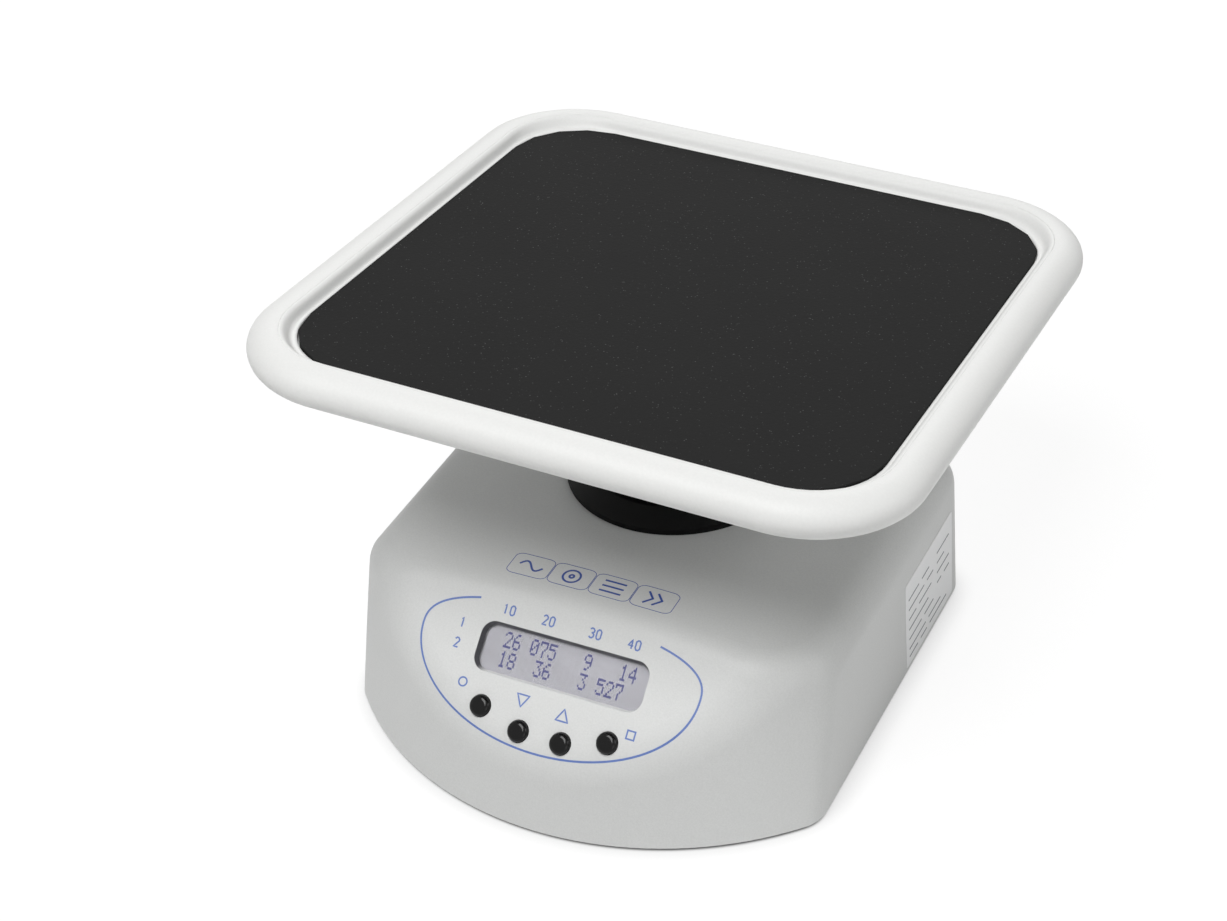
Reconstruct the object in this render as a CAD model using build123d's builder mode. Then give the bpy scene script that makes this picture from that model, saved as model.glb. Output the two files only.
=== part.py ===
"""Three-dimensional laboratory shaker: a moulded housing, a belt-driven crank and a nodding tray.

Millimetres. +Z is up and the control panel faces -Y. The origin is on the vertical spindle's axis,
in the plane of the feet.
"""

import os
from math import cos, pi, radians, sin, sqrt, tan

from build123d import *

os.makedirs("parts", exist_ok=True)

# Motion: the tray's axis leans from the spindle's axis and crosses it at the pivot
pivot_z = 84.7
lean_angle = 7.0
lean_azimuth = 72.5
platform_turn = 0.8

# Housing, outside
edge_z = 1.5
half_width = 89.6
rear_y = 53.5
front_radius = 118.8
front_centre_y = -8.7
cone_overlap = front_radius / 10
front_lean = 11.5
side_draft = 1.2
crown_z = 65.0
crown_radius = 1100.0
panel_set_back = 33.5
panel_z = 53.5
panel_slope = 41.5
brow_radius = 22.0
shoulder_radius = 13.5
rear_radius = 12.0
front_corner_radius = 13.0
wall = 2.5
cut_depth = 2 * wall
opening_depth = 3 * wall
mid_wall = wall / 2

# Clearances
slip = 0.3
button_slip = 0.2
seat_slip = 0.02
running_slip = 0.05
hex_allowance = 0.5

# Shaft opening, collar and boot
opening_radius = 34.0
collar_radius = 40.0
collar_rim_height = 2.2
collar_height = 7.0
collar_land = 3.0
collar_spigot = 4.0
boot_thickness = 1.4
boot_low_radius = 30.0
boot_high_radius = 28.0
boot_rib_depth = 4.5
boot_ribs = 6
# share of a rib's height, and whether the boot is drawn in there
rib_shape = ((0.12, True), (0.38, False), (0.62, False), (0.88, True))
boot_low_z = 61.5
boot_rib_start_z = 73.0
boot_rib_end = 30.0
boot_cuff_gap = 0.6
boot_cuff_length = 9.0
clamp_thickness = 2.0
clamp_height = 5.0

# Control panel
controls_x = 1.4
window_width = 63.0
window_height = 17.5
window_corner = 5.0
window_up = -4.6
window_bevel_angle = 20.0
pane_thickness = 1.0
pane_margin = 2.5
glass_thickness = 1.6
glass_width = 66.0
glass_height = 21.0
bezel_width = 69.0
bezel_height = 25.0
bezel_depth = 6.0
bezel_lip = 0.4
module_width = 80.0
module_height = 32.0
board_thickness = 1.6
board_edge = 2.5
panel_boss_radius = 2.6
panel_screw_radius = 1.0
panel_screw_head_radius = 2.0
panel_screw_head = 1.4
panel_screw_depth = 5.0
button_radius = 3.75
button_rise = 1.9
button_inner_x = 7.9
button_outer_x = 23.8
button_inner_up = -29.3
button_outer_up = -24.7
button_edge = 1.7
button_flange_radius = 4.6
button_flange = 1.0
button_seat = 0.1
button_stem_radius = 1.5
button_travel = 0.6
key_board_depth = 12.0
key_board_width = 66.0
key_board_height = 13.0
key_board_up = -26.0
key_size = 6.0
key_height = 3.2
key_plunger = 0.4
key_plunger_radius = 1.7
key_boss_radius = 1.7

# Base plate and feet
base_thickness = 2.5
blind_skin = 0.5
base_gap = 0.4
foot_radius = 7.0
foot_pocket_depth = 1.0
foot_side_inset = 21.6
foot_front_inset = 43.5
foot_rear_inset = 17.5
foot_edge = 0.5
base_screw_side_inset = 9.1
base_screw_front_inset = 71.5
base_screw_rear_inset = 13.5
base_screw_radius = 1.6
base_screw_head_radius = 3.0
base_screw_head = 1.2
base_screw_length = 12.0
base_boss_radius = 4.0
base_boss_rib = 2.0

# Drive frame
drive_plate_z = 40.0
drive_plate_thickness = 3.0
drive_plate_length = 110.0
drive_plate_width = 64.0
drive_plate_x = -25.0
drive_plate_corner = 5.0
post_radius = 4.0
post_inset = 6.0
post_screw_radius = 2.0
post_screw_head_radius = 3.6
post_screw_head = 1.4
post_screw_depth = 8.0

# Spindle and its bearings
spindle_radius = 4.0
bearing_radius = 11.0
bearing_width = 7.0
bearing_groove = 0.5
bearing_race = 2.0
hub_bearing_race = 1.4
sleeve_radius = 15.0
sleeve_low_z = 20.0
sleeve_high_z = 44.5
sleeve_shoulder_radius = 9.0
sleeve_recess = 1.0
sleeve_flange_radius = 24.0
sleeve_flange = 4.0
sleeve_screw_circle = 19.5
sleeve_screw_radius = 1.5
sleeve_screw_head_radius = 2.8
sleeve_screw_head = 1.6
sleeve_screw_length = 6.5
spindle_low_z = 18.0
spindle_high_z = 66.0
spindle_chamfer = 0.5
ring_radius = 6.0
ring_thickness = 1.0

# Belt drive
driven_teeth = 60
motor_teeth = 20
tooth_pitch = 2.0
belt_low_z = 46.5
belt_width = 6.0
belt_thickness = 1.4
pulley_flange = 1.0
pulley_flange_lip = 1.6
driven_hub_radius = 8.0
motor_hub_radius = 6.0
pulley_hub_height = 5.0
belt_slip = 0.3
grub_radius = 1.5
motor_x = -52.0
motor_size = 42.3
motor_corner = 4.0
motor_height = 34.0
motor_pilot_radius = 11.0
motor_pilot = 2.0
motor_hole_pitch = 31.0
motor_screw_radius = 1.5
motor_screw_head_radius = 2.75
motor_screw_head = 2.0
motor_screw_depth = 4.5
motor_shaft_radius = 2.5
motor_shaft_depth = 6.0

# Crank head and inclined stub
crank_radius = 13.0
crank_low_z = 59.5
crank_high_z = 72.0
crank_edge = 1.0
stub_shoulder_radius = 7.0
stub_radius = 5.0
hub_bearing_radius = 9.5
hub_bearing_width = 5.0
hub_bearing_low = 6.0
hub_bearing_high = 22.0
washer_radius = 7.0
washer_thickness = 1.0
stub_screw_radius = 2.0
stub_screw_head_radius = 3.5
stub_screw_head = 2.5
stub_screw_depth = 12.0

# Platform hub, tray and mat
hub_sleeve_radius = 13.0
hub_sleeve_low = 4.0
hub_shoulder_radius = 8.0
hub_bell_radius = 24.0
hub_bell_low = 31.0
hub_bell_wall = 2.5
hub_flange_radius = 42.0
hub_flange = 4.0
hub_screw_circle = 34.0
mat_thickness = 2.5
mat_top = 53.0
mat_gap = 2.0
mat_corner = 32.0
floor_thickness = 3.0
tray_half = 117.2
rim_half_width = 8.1
rim_half_height = 7.0
rim_drop = 3.05
rim_corner = 31.5
pocket_inset = 12.2
tray_screw_radius = 2.0
tray_screw_head_radius = 3.6
tray_screw_head = 1.8
tray_screw_length = 6.6
rim_inner_edge = 1.6
mat_edge = 0.4

# Rear wall
socket_x = 46.0
socket_z = 20.0
socket_radius = 5.5
socket_bore = 3.1
socket_depth = 13.0
socket_bore_depth = 10.0
socket_pin_radius = 1.0
socket_flange_radius = 7.0
socket_flange = 1.2
socket_nut_thickness = 2.0
switch_x = 18.0
switch_z = 20.0
switch_width = 21.0
switch_height = 15.0
switch_flange = 1.6
switch_body_width = 18.6
switch_body_height = 12.6
switch_body_depth = 14.0
switch_wall = 1.4
rocker_swing = 16.0
rocker_radius = 7.6
rocker_pivot_depth = 1.0
rocker_pin_radius = 1.2
rocker_rise = 0.4
rocker_floor = 5.0

# Main board
main_board_x = 55.5
main_board_y = -5.0
main_board_width = 44.0
main_board_length = 78.0
main_board_lift = 5.0
main_board_edge = 3.0
standoff_radius = 2.8
board_screw_radius = 1.2
board_screw_head_radius = 2.3
board_screw_head = 1.4
board_screw_length = 5.0
cooler_y = -18.0
cooler_width = 26.0
cooler_depth = 16.0
cooler_height = 14.0
cooler_base = 2.5
cooler_fins = 5
cooler_fin = 1.4
capacitor_y = 14.0
capacitor_pitch = 16.0
capacitor_radius = 5.0
capacitor_height = 13.0
capacitor_edge = 0.6


# Directions and planes
front_y = front_centre_y - front_radius
panel_y = front_y + panel_set_back
panel_up = Vector(0, cos(radians(panel_slope)), sin(radians(panel_slope)))
panel_out = Vector(0, -sin(radians(panel_slope)), cos(radians(panel_slope)))
tilt_line = Axis((0, 0, 0), (-sin(radians(lean_azimuth)), cos(radians(lean_azimuth)), 0))
tilt_z = Vector(0, 0, 1).rotate(tilt_line, lean_angle)
tilt_x = Vector(1, 0, 0).rotate(tilt_line, lean_angle).rotate(Axis((0, 0, 0), tilt_z), platform_turn)
pivot = Vector(0, 0, pivot_z)


def panel_plane(height, x=0.0, up=0.0):
    """Plane parallel to the control panel, at a height above its surface."""
    spot = Vector(x, panel_y, panel_z) + panel_up * up + panel_out * height
    return Plane(origin=spot, x_dir=(1, 0, 0), z_dir=panel_out)


def deck_plane(height):
    """Plane square to the tray's leaning axis, at a height above the pivot."""
    return Plane(origin=pivot + tilt_z * height, x_dir=tilt_x, z_dir=tilt_z)


def rear_plane(x, z, height=0.0):
    """Plane parallel to the rear wall, at a height outside it."""
    outward = Vector(0, cos(radians(side_draft)), sin(radians(side_draft)))
    surface = Vector(x, rear_y - (z - edge_z) * tan(radians(side_draft)), z)
    return Plane(origin=surface + outward * height, x_dir=(-1, 0, 0), z_dir=outward)


def outline_of(faces):
    """The edges that only one of the faces has."""
    edges = [edge for face in faces for edge in face.edges()]
    return [edge for edge in edges if sum(edge.is_same(other) for other in edges) == 1]


def is_shoulder_edge(edge):
    """Whether a straight edge runs along the top of a side wall."""
    return edge.length > half_width and edge.center().Z > panel_z


def is_above_foot(edge):
    """Whether an edge of the housing lies above its lower rim."""
    return edge.center().Z > edge_z + wall


def is_front_face(face):
    """Whether a face belongs to the curved front, the brow or the panel."""
    limit_y = (panel_y - rear_y) / 2
    return face.center().Y < limit_y and face.bounding_box().size.X > half_width


def housing_form(inset):
    """The housing's outer form, or the same form drawn in by a wall."""
    form_height = 2 * crown_z
    form_width = 3 * half_width
    form_depth = 2 * front_radius
    cone_radius = front_radius - inset / cos(radians(front_lean))
    side = half_width - inset / cos(radians(side_draft))
    back = rear_y - inset / cos(radians(side_draft))
    cone_back_y = front_centre_y - cone_overlap

    with BuildPart() as front_form:
        with BuildSketch(Plane.XY.offset(edge_z)):
            with Locations((0, front_centre_y)):
                Circle(cone_radius)
        extrude(amount=form_height, taper=front_lean)
        split(bisect_by=Plane.XZ.offset(-cone_back_y), keep=Keep.TOP)
        split(bisect_by=panel_plane(-inset), keep=Keep.BOTTOM)
        brow = front_form.edges().filter_by(GeomType.ELLIPSE)
        fillet(brow, brow_radius - inset)
        with BuildSketch(Plane.XY.offset(edge_z)):
            with Locations((0, cone_back_y)):
                Rectangle(form_width, form_depth, align=(Align.CENTER, Align.MIN))
        extrude(amount=form_height)

    with BuildPart() as form:
        with BuildSketch(Plane.XY.offset(edge_z)):
            with Locations((0, back)):
                Rectangle(2 * side, form_depth, align=(Align.CENTER, Align.MAX))
        extrude(amount=form_height, taper=side_draft)
        add(front_form.part, mode=Mode.INTERSECT)
        with BuildSketch(Plane.XZ):
            with Locations((0, crown_z - crown_radius)):
                Circle(crown_radius - inset)
            with Locations((0, edge_z)):
                Rectangle(
                    2 * half_width,
                    form_height,
                    align=(Align.CENTER, Align.MIN),
                    mode=Mode.INTERSECT,
                )
        extrude(amount=form_depth, both=True, mode=Mode.INTERSECT)
        shoulders = form.edges().filter_by(GeomType.LINE).filter_by(is_shoulder_edge)
        fillet(shoulders, shoulder_radius - inset)
        rear_face = form.faces().sort_by(Axis.Y)[-1]
        fillet(rear_face.edges().filter_by(is_above_foot), rear_radius - inset)
        front_faces = form.faces().filter_by(is_front_face)
        corners = [edge for edge in outline_of(front_faces) if is_above_foot(edge)]
        fillet(corners, front_corner_radius - inset)
    return form.part


def ball_bearing(plane, bore, outer, width, race):
    """A shielded bearing standing on a plane, with its shields set in on both faces."""
    with BuildPart() as bearing:
        with BuildSketch(plane):
            Circle(outer)
            Circle(bore, mode=Mode.SUBTRACT)
        extrude(amount=width)
        for face_height in (0, width - bearing_groove):
            with BuildSketch(plane.offset(face_height)):
                Circle(outer - race)
                Circle(bore + race, mode=Mode.SUBTRACT)
            extrude(amount=bearing_groove, mode=Mode.SUBTRACT)
    return bearing.part


def screw(plane, radius, length, head_radius, head):
    """A screw whose head stands on a plane and whose shank runs down behind it."""
    with BuildPart() as fastener:
        with BuildSketch(plane):
            Circle(head_radius)
        extrude(amount=head)
        with BuildSketch(plane):
            Circle(radius)
        extrude(amount=-length)
        with BuildSketch(plane.offset(head)):
            RegularPolygon(radius / 2 + hex_allowance, 6)
        extrude(amount=-head / 2, mode=Mode.SUBTRACT)
    return fastener.part


# Levels and radii that follow from the sizes above
module_hole_x = module_width - 2 * board_edge
module_hole_y = module_height - 2 * board_edge
key_board_hole_x = key_board_width - 2 * board_edge
main_board_hole_x = main_board_width - 2 * main_board_edge
main_board_hole_y = main_board_length - 2 * main_board_edge
base_top_z = edge_z + base_thickness
mat_low = mat_top - mat_thickness
floor_low = mat_low - floor_thickness
hub_flange_low = floor_low - hub_flange
rim_level = mat_top - rim_drop
rim_half = tray_half - rim_half_width
floor_half = tray_half - pocket_inset
floor_corner = rim_corner - (rim_half - floor_half)
mat_half = floor_half - mat_gap
plate_top_z = drive_plate_z + drive_plate_thickness
boot_cuff_low = boot_rib_end + boot_cuff_gap
boot_cuff_inner = hub_bell_radius + slip
boot_cuff_outer = boot_cuff_inner + boot_thickness
driven_radius = driven_teeth * tooth_pitch / (2 * pi)
motor_pulley_radius = motor_teeth * tooth_pitch / (2 * pi)
pulley_low_z = belt_low_z - belt_slip - pulley_flange
pulley_high_z = belt_low_z + belt_width + belt_slip + pulley_flange
pulley_top_z = pulley_high_z + pulley_hub_height
upper_bearing_z = sleeve_high_z - sleeve_recess - bearing_width
lower_bearing_z = sleeve_low_z + sleeve_recess
glass_high = -wall - pane_thickness
bezel_high = glass_high - bezel_lip
bezel_low = bezel_high - bezel_depth
key_board_high = -key_board_depth
key_top = key_board_high + key_height + key_plunger
stub_seat = hub_bearing_low - slip
stub_top = hub_bearing_high + hub_bearing_width + slip


# Where things stand
button_spots = {
    "button_a": (-button_outer_x, button_outer_up),
    "button_b": (-button_inner_x, button_inner_up),
    "button_c": (button_inner_x, button_inner_up),
    "button_d": (button_outer_x, button_outer_up),
}


def corner_spots(side_inset, front_inset, rear_inset):
    """Four places set in from the housing's sides, its front and its rear."""
    rows = (front_y + front_inset, rear_y - rear_inset)
    return [(x, y) for x in (side_inset - half_width, half_width - side_inset) for y in rows]


base_screw_spots = corner_spots(base_screw_side_inset, base_screw_front_inset, base_screw_rear_inset)
foot_spots = corner_spots(foot_side_inset, foot_front_inset, foot_rear_inset)
post_x = drive_plate_length / 2 - post_inset
post_y = drive_plate_width / 2 - post_inset
post_spots = [(drive_plate_x + x, y) for x in (-post_x, post_x) for y in (-post_y, post_y)]
motor_spots = [
    (motor_x + x, y)
    for x in (-motor_hole_pitch / 2, motor_hole_pitch / 2)
    for y in (-motor_hole_pitch / 2, motor_hole_pitch / 2)
]
main_board_spots = [
    (main_board_x + x, main_board_y + y)
    for x in (-main_board_hole_x / 2, main_board_hole_x / 2)
    for y in (-main_board_hole_y / 2, main_board_hole_y / 2)
]
module_spots = [
    (controls_x + x, window_up + y)
    for x in (-module_hole_x / 2, module_hole_x / 2)
    for y in (-module_hole_y / 2, module_hole_y / 2)
]
key_board_xs = (-key_board_hole_x / 2, key_board_hole_x / 2)
key_board_spots = [(controls_x + x, key_board_up) for x in key_board_xs]


def circle_spots(radius, count, start):
    """Evenly spaced places on a circle."""
    angles = [radians(start + 360 * turn / count) for turn in range(count)]
    return [(radius * cos(angle), radius * sin(angle)) for angle in angles]


sleeve_screw_spots = circle_spots(sleeve_screw_circle, 4, 45)
hub_screw_spots = circle_spots(hub_screw_circle, 4, 45)


def finish(piece, name):
    """Name a finished piece and write it."""
    piece.part.label = name
    export_step(piece.part, f"parts/{name}.step")


# Housing: one moulding with its bosses
outer_form = housing_form(0)
inner_form = housing_form(wall)
boss_form = housing_form(mid_wall)

with BuildPart() as bosses:
    with BuildSketch(Plane.XY.offset(base_top_z)):
        for x, y in base_screw_spots:
            with Locations((x, y)):
                Circle(base_boss_radius)
            with Locations((x, y)):
                Rectangle(
                    base_screw_side_inset,
                    base_boss_rib,
                    align=(Align.MIN if x > 0 else Align.MAX, Align.CENTER),
                )
    extrude(amount=crown_z)
    for x, up in module_spots:
        with BuildSketch(panel_plane(bezel_low, x, up)):
            Circle(panel_boss_radius)
        extrude(amount=-bezel_low)
    for x, up in key_board_spots:
        with BuildSketch(panel_plane(key_board_high, x, up)):
            Circle(key_boss_radius)
        extrude(amount=key_board_depth)
    add(boss_form, mode=Mode.INTERSECT)

with BuildPart() as housing:
    add(outer_form)
    add(inner_form, mode=Mode.SUBTRACT)
    add(bosses.part)
    # pilot holes of the bosses
    with Locations(*[Plane(origin=(x, y, base_top_z), z_dir=(0, 0, -1)) for x, y in base_screw_spots]):
        Hole(base_screw_radius + seat_slip, depth=base_screw_length)
    for x, up in module_spots:
        with BuildSketch(panel_plane(bezel_low, x, up)):
            Circle(panel_screw_radius + seat_slip)
        extrude(amount=panel_screw_depth, mode=Mode.SUBTRACT)
    for x, up in key_board_spots:
        with BuildSketch(panel_plane(key_board_high, x, up)):
            Circle(panel_screw_radius + seat_slip)
        extrude(amount=panel_screw_depth, mode=Mode.SUBTRACT)
    # display opening with its sloping edge
    window_middle = panel_plane(0, controls_x, window_up).origin
    inward = Plane(origin=window_middle, x_dir=(1, 0, 0), z_dir=-panel_out)
    with BuildSketch(inward):
        RectangleRounded(window_width, window_height, window_corner)
    extrude(amount=wall + slip, taper=window_bevel_angle, mode=Mode.SUBTRACT)
    # button holes, with a spot face inside for each flange
    for x, up in button_spots.values():
        with BuildSketch(panel_plane(-cut_depth, controls_x + x, up)):
            Circle(button_radius + button_slip)
        extrude(amount=2 * cut_depth, mode=Mode.SUBTRACT)
        with BuildSketch(panel_plane(-wall, controls_x + x, up)):
            Circle(button_flange_radius + slip)
        extrude(amount=-(button_flange + button_travel + 2 * slip), mode=Mode.SUBTRACT)
    # shaft opening in the crown
    with BuildSketch(Plane.XY.offset(crown_z)):
        Circle(opening_radius)
    extrude(amount=-opening_depth, mode=Mode.SUBTRACT)
    # openings in the rear wall
    with BuildSketch(rear_plane(socket_x, socket_z, wall)):
        Circle(socket_radius + seat_slip)
    extrude(amount=-opening_depth, mode=Mode.SUBTRACT)
    with BuildSketch(rear_plane(switch_x, switch_z, wall)):
        Rectangle(switch_body_width + 2 * seat_slip, switch_body_height + 2 * seat_slip)
    extrude(amount=-opening_depth, mode=Mode.SUBTRACT)
finish(housing, "housing")

# Base plate, feet and screws
with BuildPart() as base_plate:
    add(housing_form(wall + base_gap))
    split(bisect_by=Plane.XY.offset(base_top_z), keep=Keep.BOTTOM)
    with Locations(*[Plane(origin=(x, y, edge_z), z_dir=(0, 0, -1)) for x, y in foot_spots]):
        Hole(foot_radius + seat_slip, depth=foot_pocket_depth)
    with Locations(*[Plane(origin=(x, y, edge_z), z_dir=(0, 0, -1)) for x, y in base_screw_spots]):
        CounterBoreHole(base_screw_radius + slip, base_screw_head_radius + slip, base_screw_head)
    with Locations(*[Plane(origin=(x, y, edge_z), z_dir=(0, 0, -1)) for x, y in post_spots]):
        CounterBoreHole(post_screw_radius + slip, post_screw_head_radius + slip, post_screw_head)
    with Locations(*[(x, y, base_top_z) for x, y in main_board_spots]):
        Hole(board_screw_radius, depth=base_thickness - blind_skin)
finish(base_plate, "base_plate")

with BuildPart() as feet:
    with BuildSketch():
        with Locations(*foot_spots):
            Circle(foot_radius)
    extrude(amount=edge_z + foot_pocket_depth)
    fillet(feet.edges().group_by(Axis.Z)[0], foot_edge)
finish(feet, "feet")

with BuildPart() as base_screws:
    for x, y in base_screw_spots:
        under = Plane(origin=(x, y, edge_z + base_screw_head), z_dir=(0, 0, -1))
        add(screw(under, base_screw_radius, base_screw_length, base_screw_head_radius, base_screw_head))
finish(base_screws, "base_screws")

# Drive frame
with BuildPart() as drive_plate:
    with BuildSketch(Plane.XY.offset(drive_plate_z)):
        with Locations((drive_plate_x, 0)):
            RectangleRounded(drive_plate_length, drive_plate_width, drive_plate_corner)
        Circle(sleeve_radius + seat_slip, mode=Mode.SUBTRACT)
        with Locations((motor_x, 0)):
            Circle(motor_pilot_radius + seat_slip, mode=Mode.SUBTRACT)
        with Locations(*motor_spots):
            Circle(motor_screw_radius + seat_slip, mode=Mode.SUBTRACT)
        with Locations(*sleeve_screw_spots):
            Circle(sleeve_screw_radius + seat_slip, mode=Mode.SUBTRACT)
        with Locations(*post_spots):
            Circle(post_screw_radius + seat_slip, mode=Mode.SUBTRACT)
    extrude(amount=drive_plate_thickness)
finish(drive_plate, "drive_plate")

with BuildPart() as drive_posts:
    with BuildSketch(Plane.XY.offset(base_top_z)):
        with Locations(*post_spots):
            Circle(post_radius)
            Circle(post_screw_radius + seat_slip, mode=Mode.SUBTRACT)
    extrude(amount=drive_plate_z - base_top_z)
finish(drive_posts, "drive_posts")

with BuildPart() as post_top_screws:
    for x, y in post_spots:
        over = Plane(origin=(x, y, plate_top_z))
        length = post_screw_depth + drive_plate_thickness
        add(screw(over, post_screw_radius, length, post_screw_head_radius, post_screw_head))
finish(post_top_screws, "post_top_screws")

with BuildPart() as post_foot_screws:
    for x, y in post_spots:
        under = Plane(origin=(x, y, edge_z + post_screw_head), z_dir=(0, 0, -1))
        add(screw(under, post_screw_radius, post_screw_depth, post_screw_head_radius, post_screw_head))
finish(post_foot_screws, "post_foot_screws")

with BuildPart() as bearing_sleeve:
    with BuildSketch(Plane.XY.offset(sleeve_low_z)):
        Circle(sleeve_radius)
    extrude(amount=sleeve_high_z - sleeve_low_z)
    with BuildSketch(Plane.XY.offset(drive_plate_z)):
        Circle(sleeve_flange_radius)
        with Locations(*sleeve_screw_spots):
            Circle(sleeve_screw_radius + seat_slip, mode=Mode.SUBTRACT)
    extrude(amount=-sleeve_flange)
    with Locations((0, 0, sleeve_high_z)):
        Hole(sleeve_shoulder_radius)
    with Locations((0, 0, sleeve_high_z)):
        Hole(bearing_radius + seat_slip, depth=sleeve_recess + bearing_width)
    with Locations(Plane(origin=(0, 0, sleeve_low_z), z_dir=(0, 0, -1))):
        Hole(bearing_radius + seat_slip, depth=sleeve_recess + bearing_width)
finish(bearing_sleeve, "bearing_sleeve")

with BuildPart() as sleeve_screws:
    for x, y in sleeve_screw_spots:
        over = Plane(origin=(x, y, plate_top_z))
        add(
            screw(
                over,
                sleeve_screw_radius,
                sleeve_screw_length,
                sleeve_screw_head_radius,
                sleeve_screw_head,
            )
        )
finish(sleeve_screws, "sleeve_screws")

spindle_bore = spindle_radius + running_slip
with BuildPart() as spindle_bearings:
    for low_z in (lower_bearing_z, upper_bearing_z):
        seat = Plane.XY.offset(low_z)
        add(ball_bearing(seat, spindle_bore, bearing_radius, bearing_width, bearing_race))
finish(spindle_bearings, "spindle_bearings")

with BuildPart() as spindle:
    with BuildSketch(Plane.XY.offset(spindle_low_z)):
        Circle(spindle_radius)
    extrude(amount=spindle_high_z - spindle_low_z)
    chamfer(spindle.edges().group_by(Axis.Z)[0], spindle_chamfer)
finish(spindle, "spindle")

with BuildPart() as spindle_ring:
    with BuildSketch(Plane.XY.offset(lower_bearing_z - slip)):
        Circle(ring_radius)
        Circle(spindle_radius + seat_slip, mode=Mode.SUBTRACT)
    extrude(amount=-ring_thickness)
finish(spindle_ring, "spindle_ring")


# Belt drive
def pulley(x, radius, hub_radius, bore):
    """A flanged pulley with its hub above, bored for its shaft and for one grub screw."""
    with BuildPart() as wheel:
        with BuildSketch(Plane.XY.offset(pulley_low_z)):
            with Locations((x, 0)):
                Circle(radius + pulley_flange_lip)
        extrude(amount=pulley_flange)
        with BuildSketch(Plane.XY.offset(pulley_low_z)):
            with Locations((x, 0)):
                Circle(radius)
        extrude(amount=pulley_high_z - pulley_low_z)
        with BuildSketch(Plane.XY.offset(pulley_high_z)):
            with Locations((x, 0)):
                Circle(radius + pulley_flange_lip)
        extrude(amount=-pulley_flange)
        with BuildSketch(Plane.XY.offset(pulley_high_z)):
            with Locations((x, 0)):
                Circle(hub_radius)
        extrude(amount=pulley_hub_height)
        with Locations((x, 0, pulley_top_z)):
            Hole(bore)
        with BuildSketch(Plane.YZ.offset(x)):
            with Locations((0, pulley_high_z + pulley_hub_height / 2)):
                Circle(grub_radius + seat_slip)
        extrude(amount=radius, mode=Mode.SUBTRACT)
    return wheel.part


def grub_screw(x, shaft, hub_radius):
    """A headless screw that holds a pulley on its shaft."""
    with BuildPart() as grub:
        with BuildSketch(Plane.YZ.offset(x + shaft + seat_slip)):
            with Locations((0, pulley_high_z + pulley_hub_height / 2)):
                Circle(grub_radius)
        extrude(amount=hub_radius - shaft - seat_slip)
    return grub.part


with BuildPart() as driven_pulley:
    add(pulley(0, driven_radius, driven_hub_radius, spindle_radius + seat_slip))
finish(driven_pulley, "driven_pulley")

with BuildPart() as driven_grub_screw:
    add(grub_screw(0, spindle_radius, driven_hub_radius))
finish(driven_grub_screw, "driven_grub_screw")

with BuildPart() as motor_pulley:
    add(pulley(motor_x, motor_pulley_radius, motor_hub_radius, motor_shaft_radius + seat_slip))
finish(motor_pulley, "motor_pulley")

with BuildPart() as motor_grub_screw:
    add(grub_screw(motor_x, motor_shaft_radius, motor_hub_radius))
finish(motor_grub_screw, "motor_grub_screw")


def belt_area(grow, mode=Mode.ADD):
    """The area inside a belt run at a distance from the pulleys' faces, drawn into the open sketch."""
    span = -motor_x
    large = driven_radius + grow
    small = motor_pulley_radius + grow
    across = (large - small) / span
    rise = sqrt(1 - across * across)
    Circle(large, mode=mode)
    with Locations((motor_x, 0)):
        Circle(small, mode=mode)
    Polygon(
        (-large * across, large * rise),
        (motor_x - small * across, small * rise),
        (motor_x - small * across, -small * rise),
        (-large * across, -large * rise),
        align=None,
        mode=mode,
    )


with BuildPart() as drive_belt:
    with BuildSketch(Plane.XY.offset(belt_low_z)):
        belt_area(belt_slip + belt_thickness)
        belt_area(belt_slip, mode=Mode.SUBTRACT)
    extrude(amount=belt_width)
finish(drive_belt, "drive_belt")

with BuildPart() as motor:
    with BuildSketch(Plane.XY.offset(drive_plate_z)):
        with Locations((motor_x, 0)):
            RectangleRounded(motor_size, motor_size, motor_corner)
    extrude(amount=-motor_height)
    with BuildSketch(Plane.XY.offset(drive_plate_z)):
        with Locations((motor_x, 0)):
            Circle(motor_pilot_radius)
    extrude(amount=motor_pilot)
    with Locations((motor_x, 0, drive_plate_z + motor_pilot)):
        Hole(motor_shaft_radius + running_slip, depth=motor_pilot + motor_shaft_depth + slip)
    with Locations(*[(x, y, drive_plate_z) for x, y in motor_spots]):
        Hole(motor_screw_radius + seat_slip, depth=motor_screw_depth)
finish(motor, "motor")

with BuildPart() as motor_screws:
    for x, y in motor_spots:
        over = Plane(origin=(x, y, plate_top_z))
        length = drive_plate_thickness + motor_screw_depth - slip
        add(screw(over, motor_screw_radius, length, motor_screw_head_radius, motor_screw_head))
finish(motor_screws, "motor_screws")

with BuildPart() as motor_shaft:
    with BuildSketch(Plane.XY.offset(drive_plate_z - motor_shaft_depth)):
        with Locations((motor_x, 0)):
            Circle(motor_shaft_radius)
    extrude(amount=pulley_top_z - drive_plate_z + motor_shaft_depth)
finish(motor_shaft, "motor_shaft")

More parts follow.
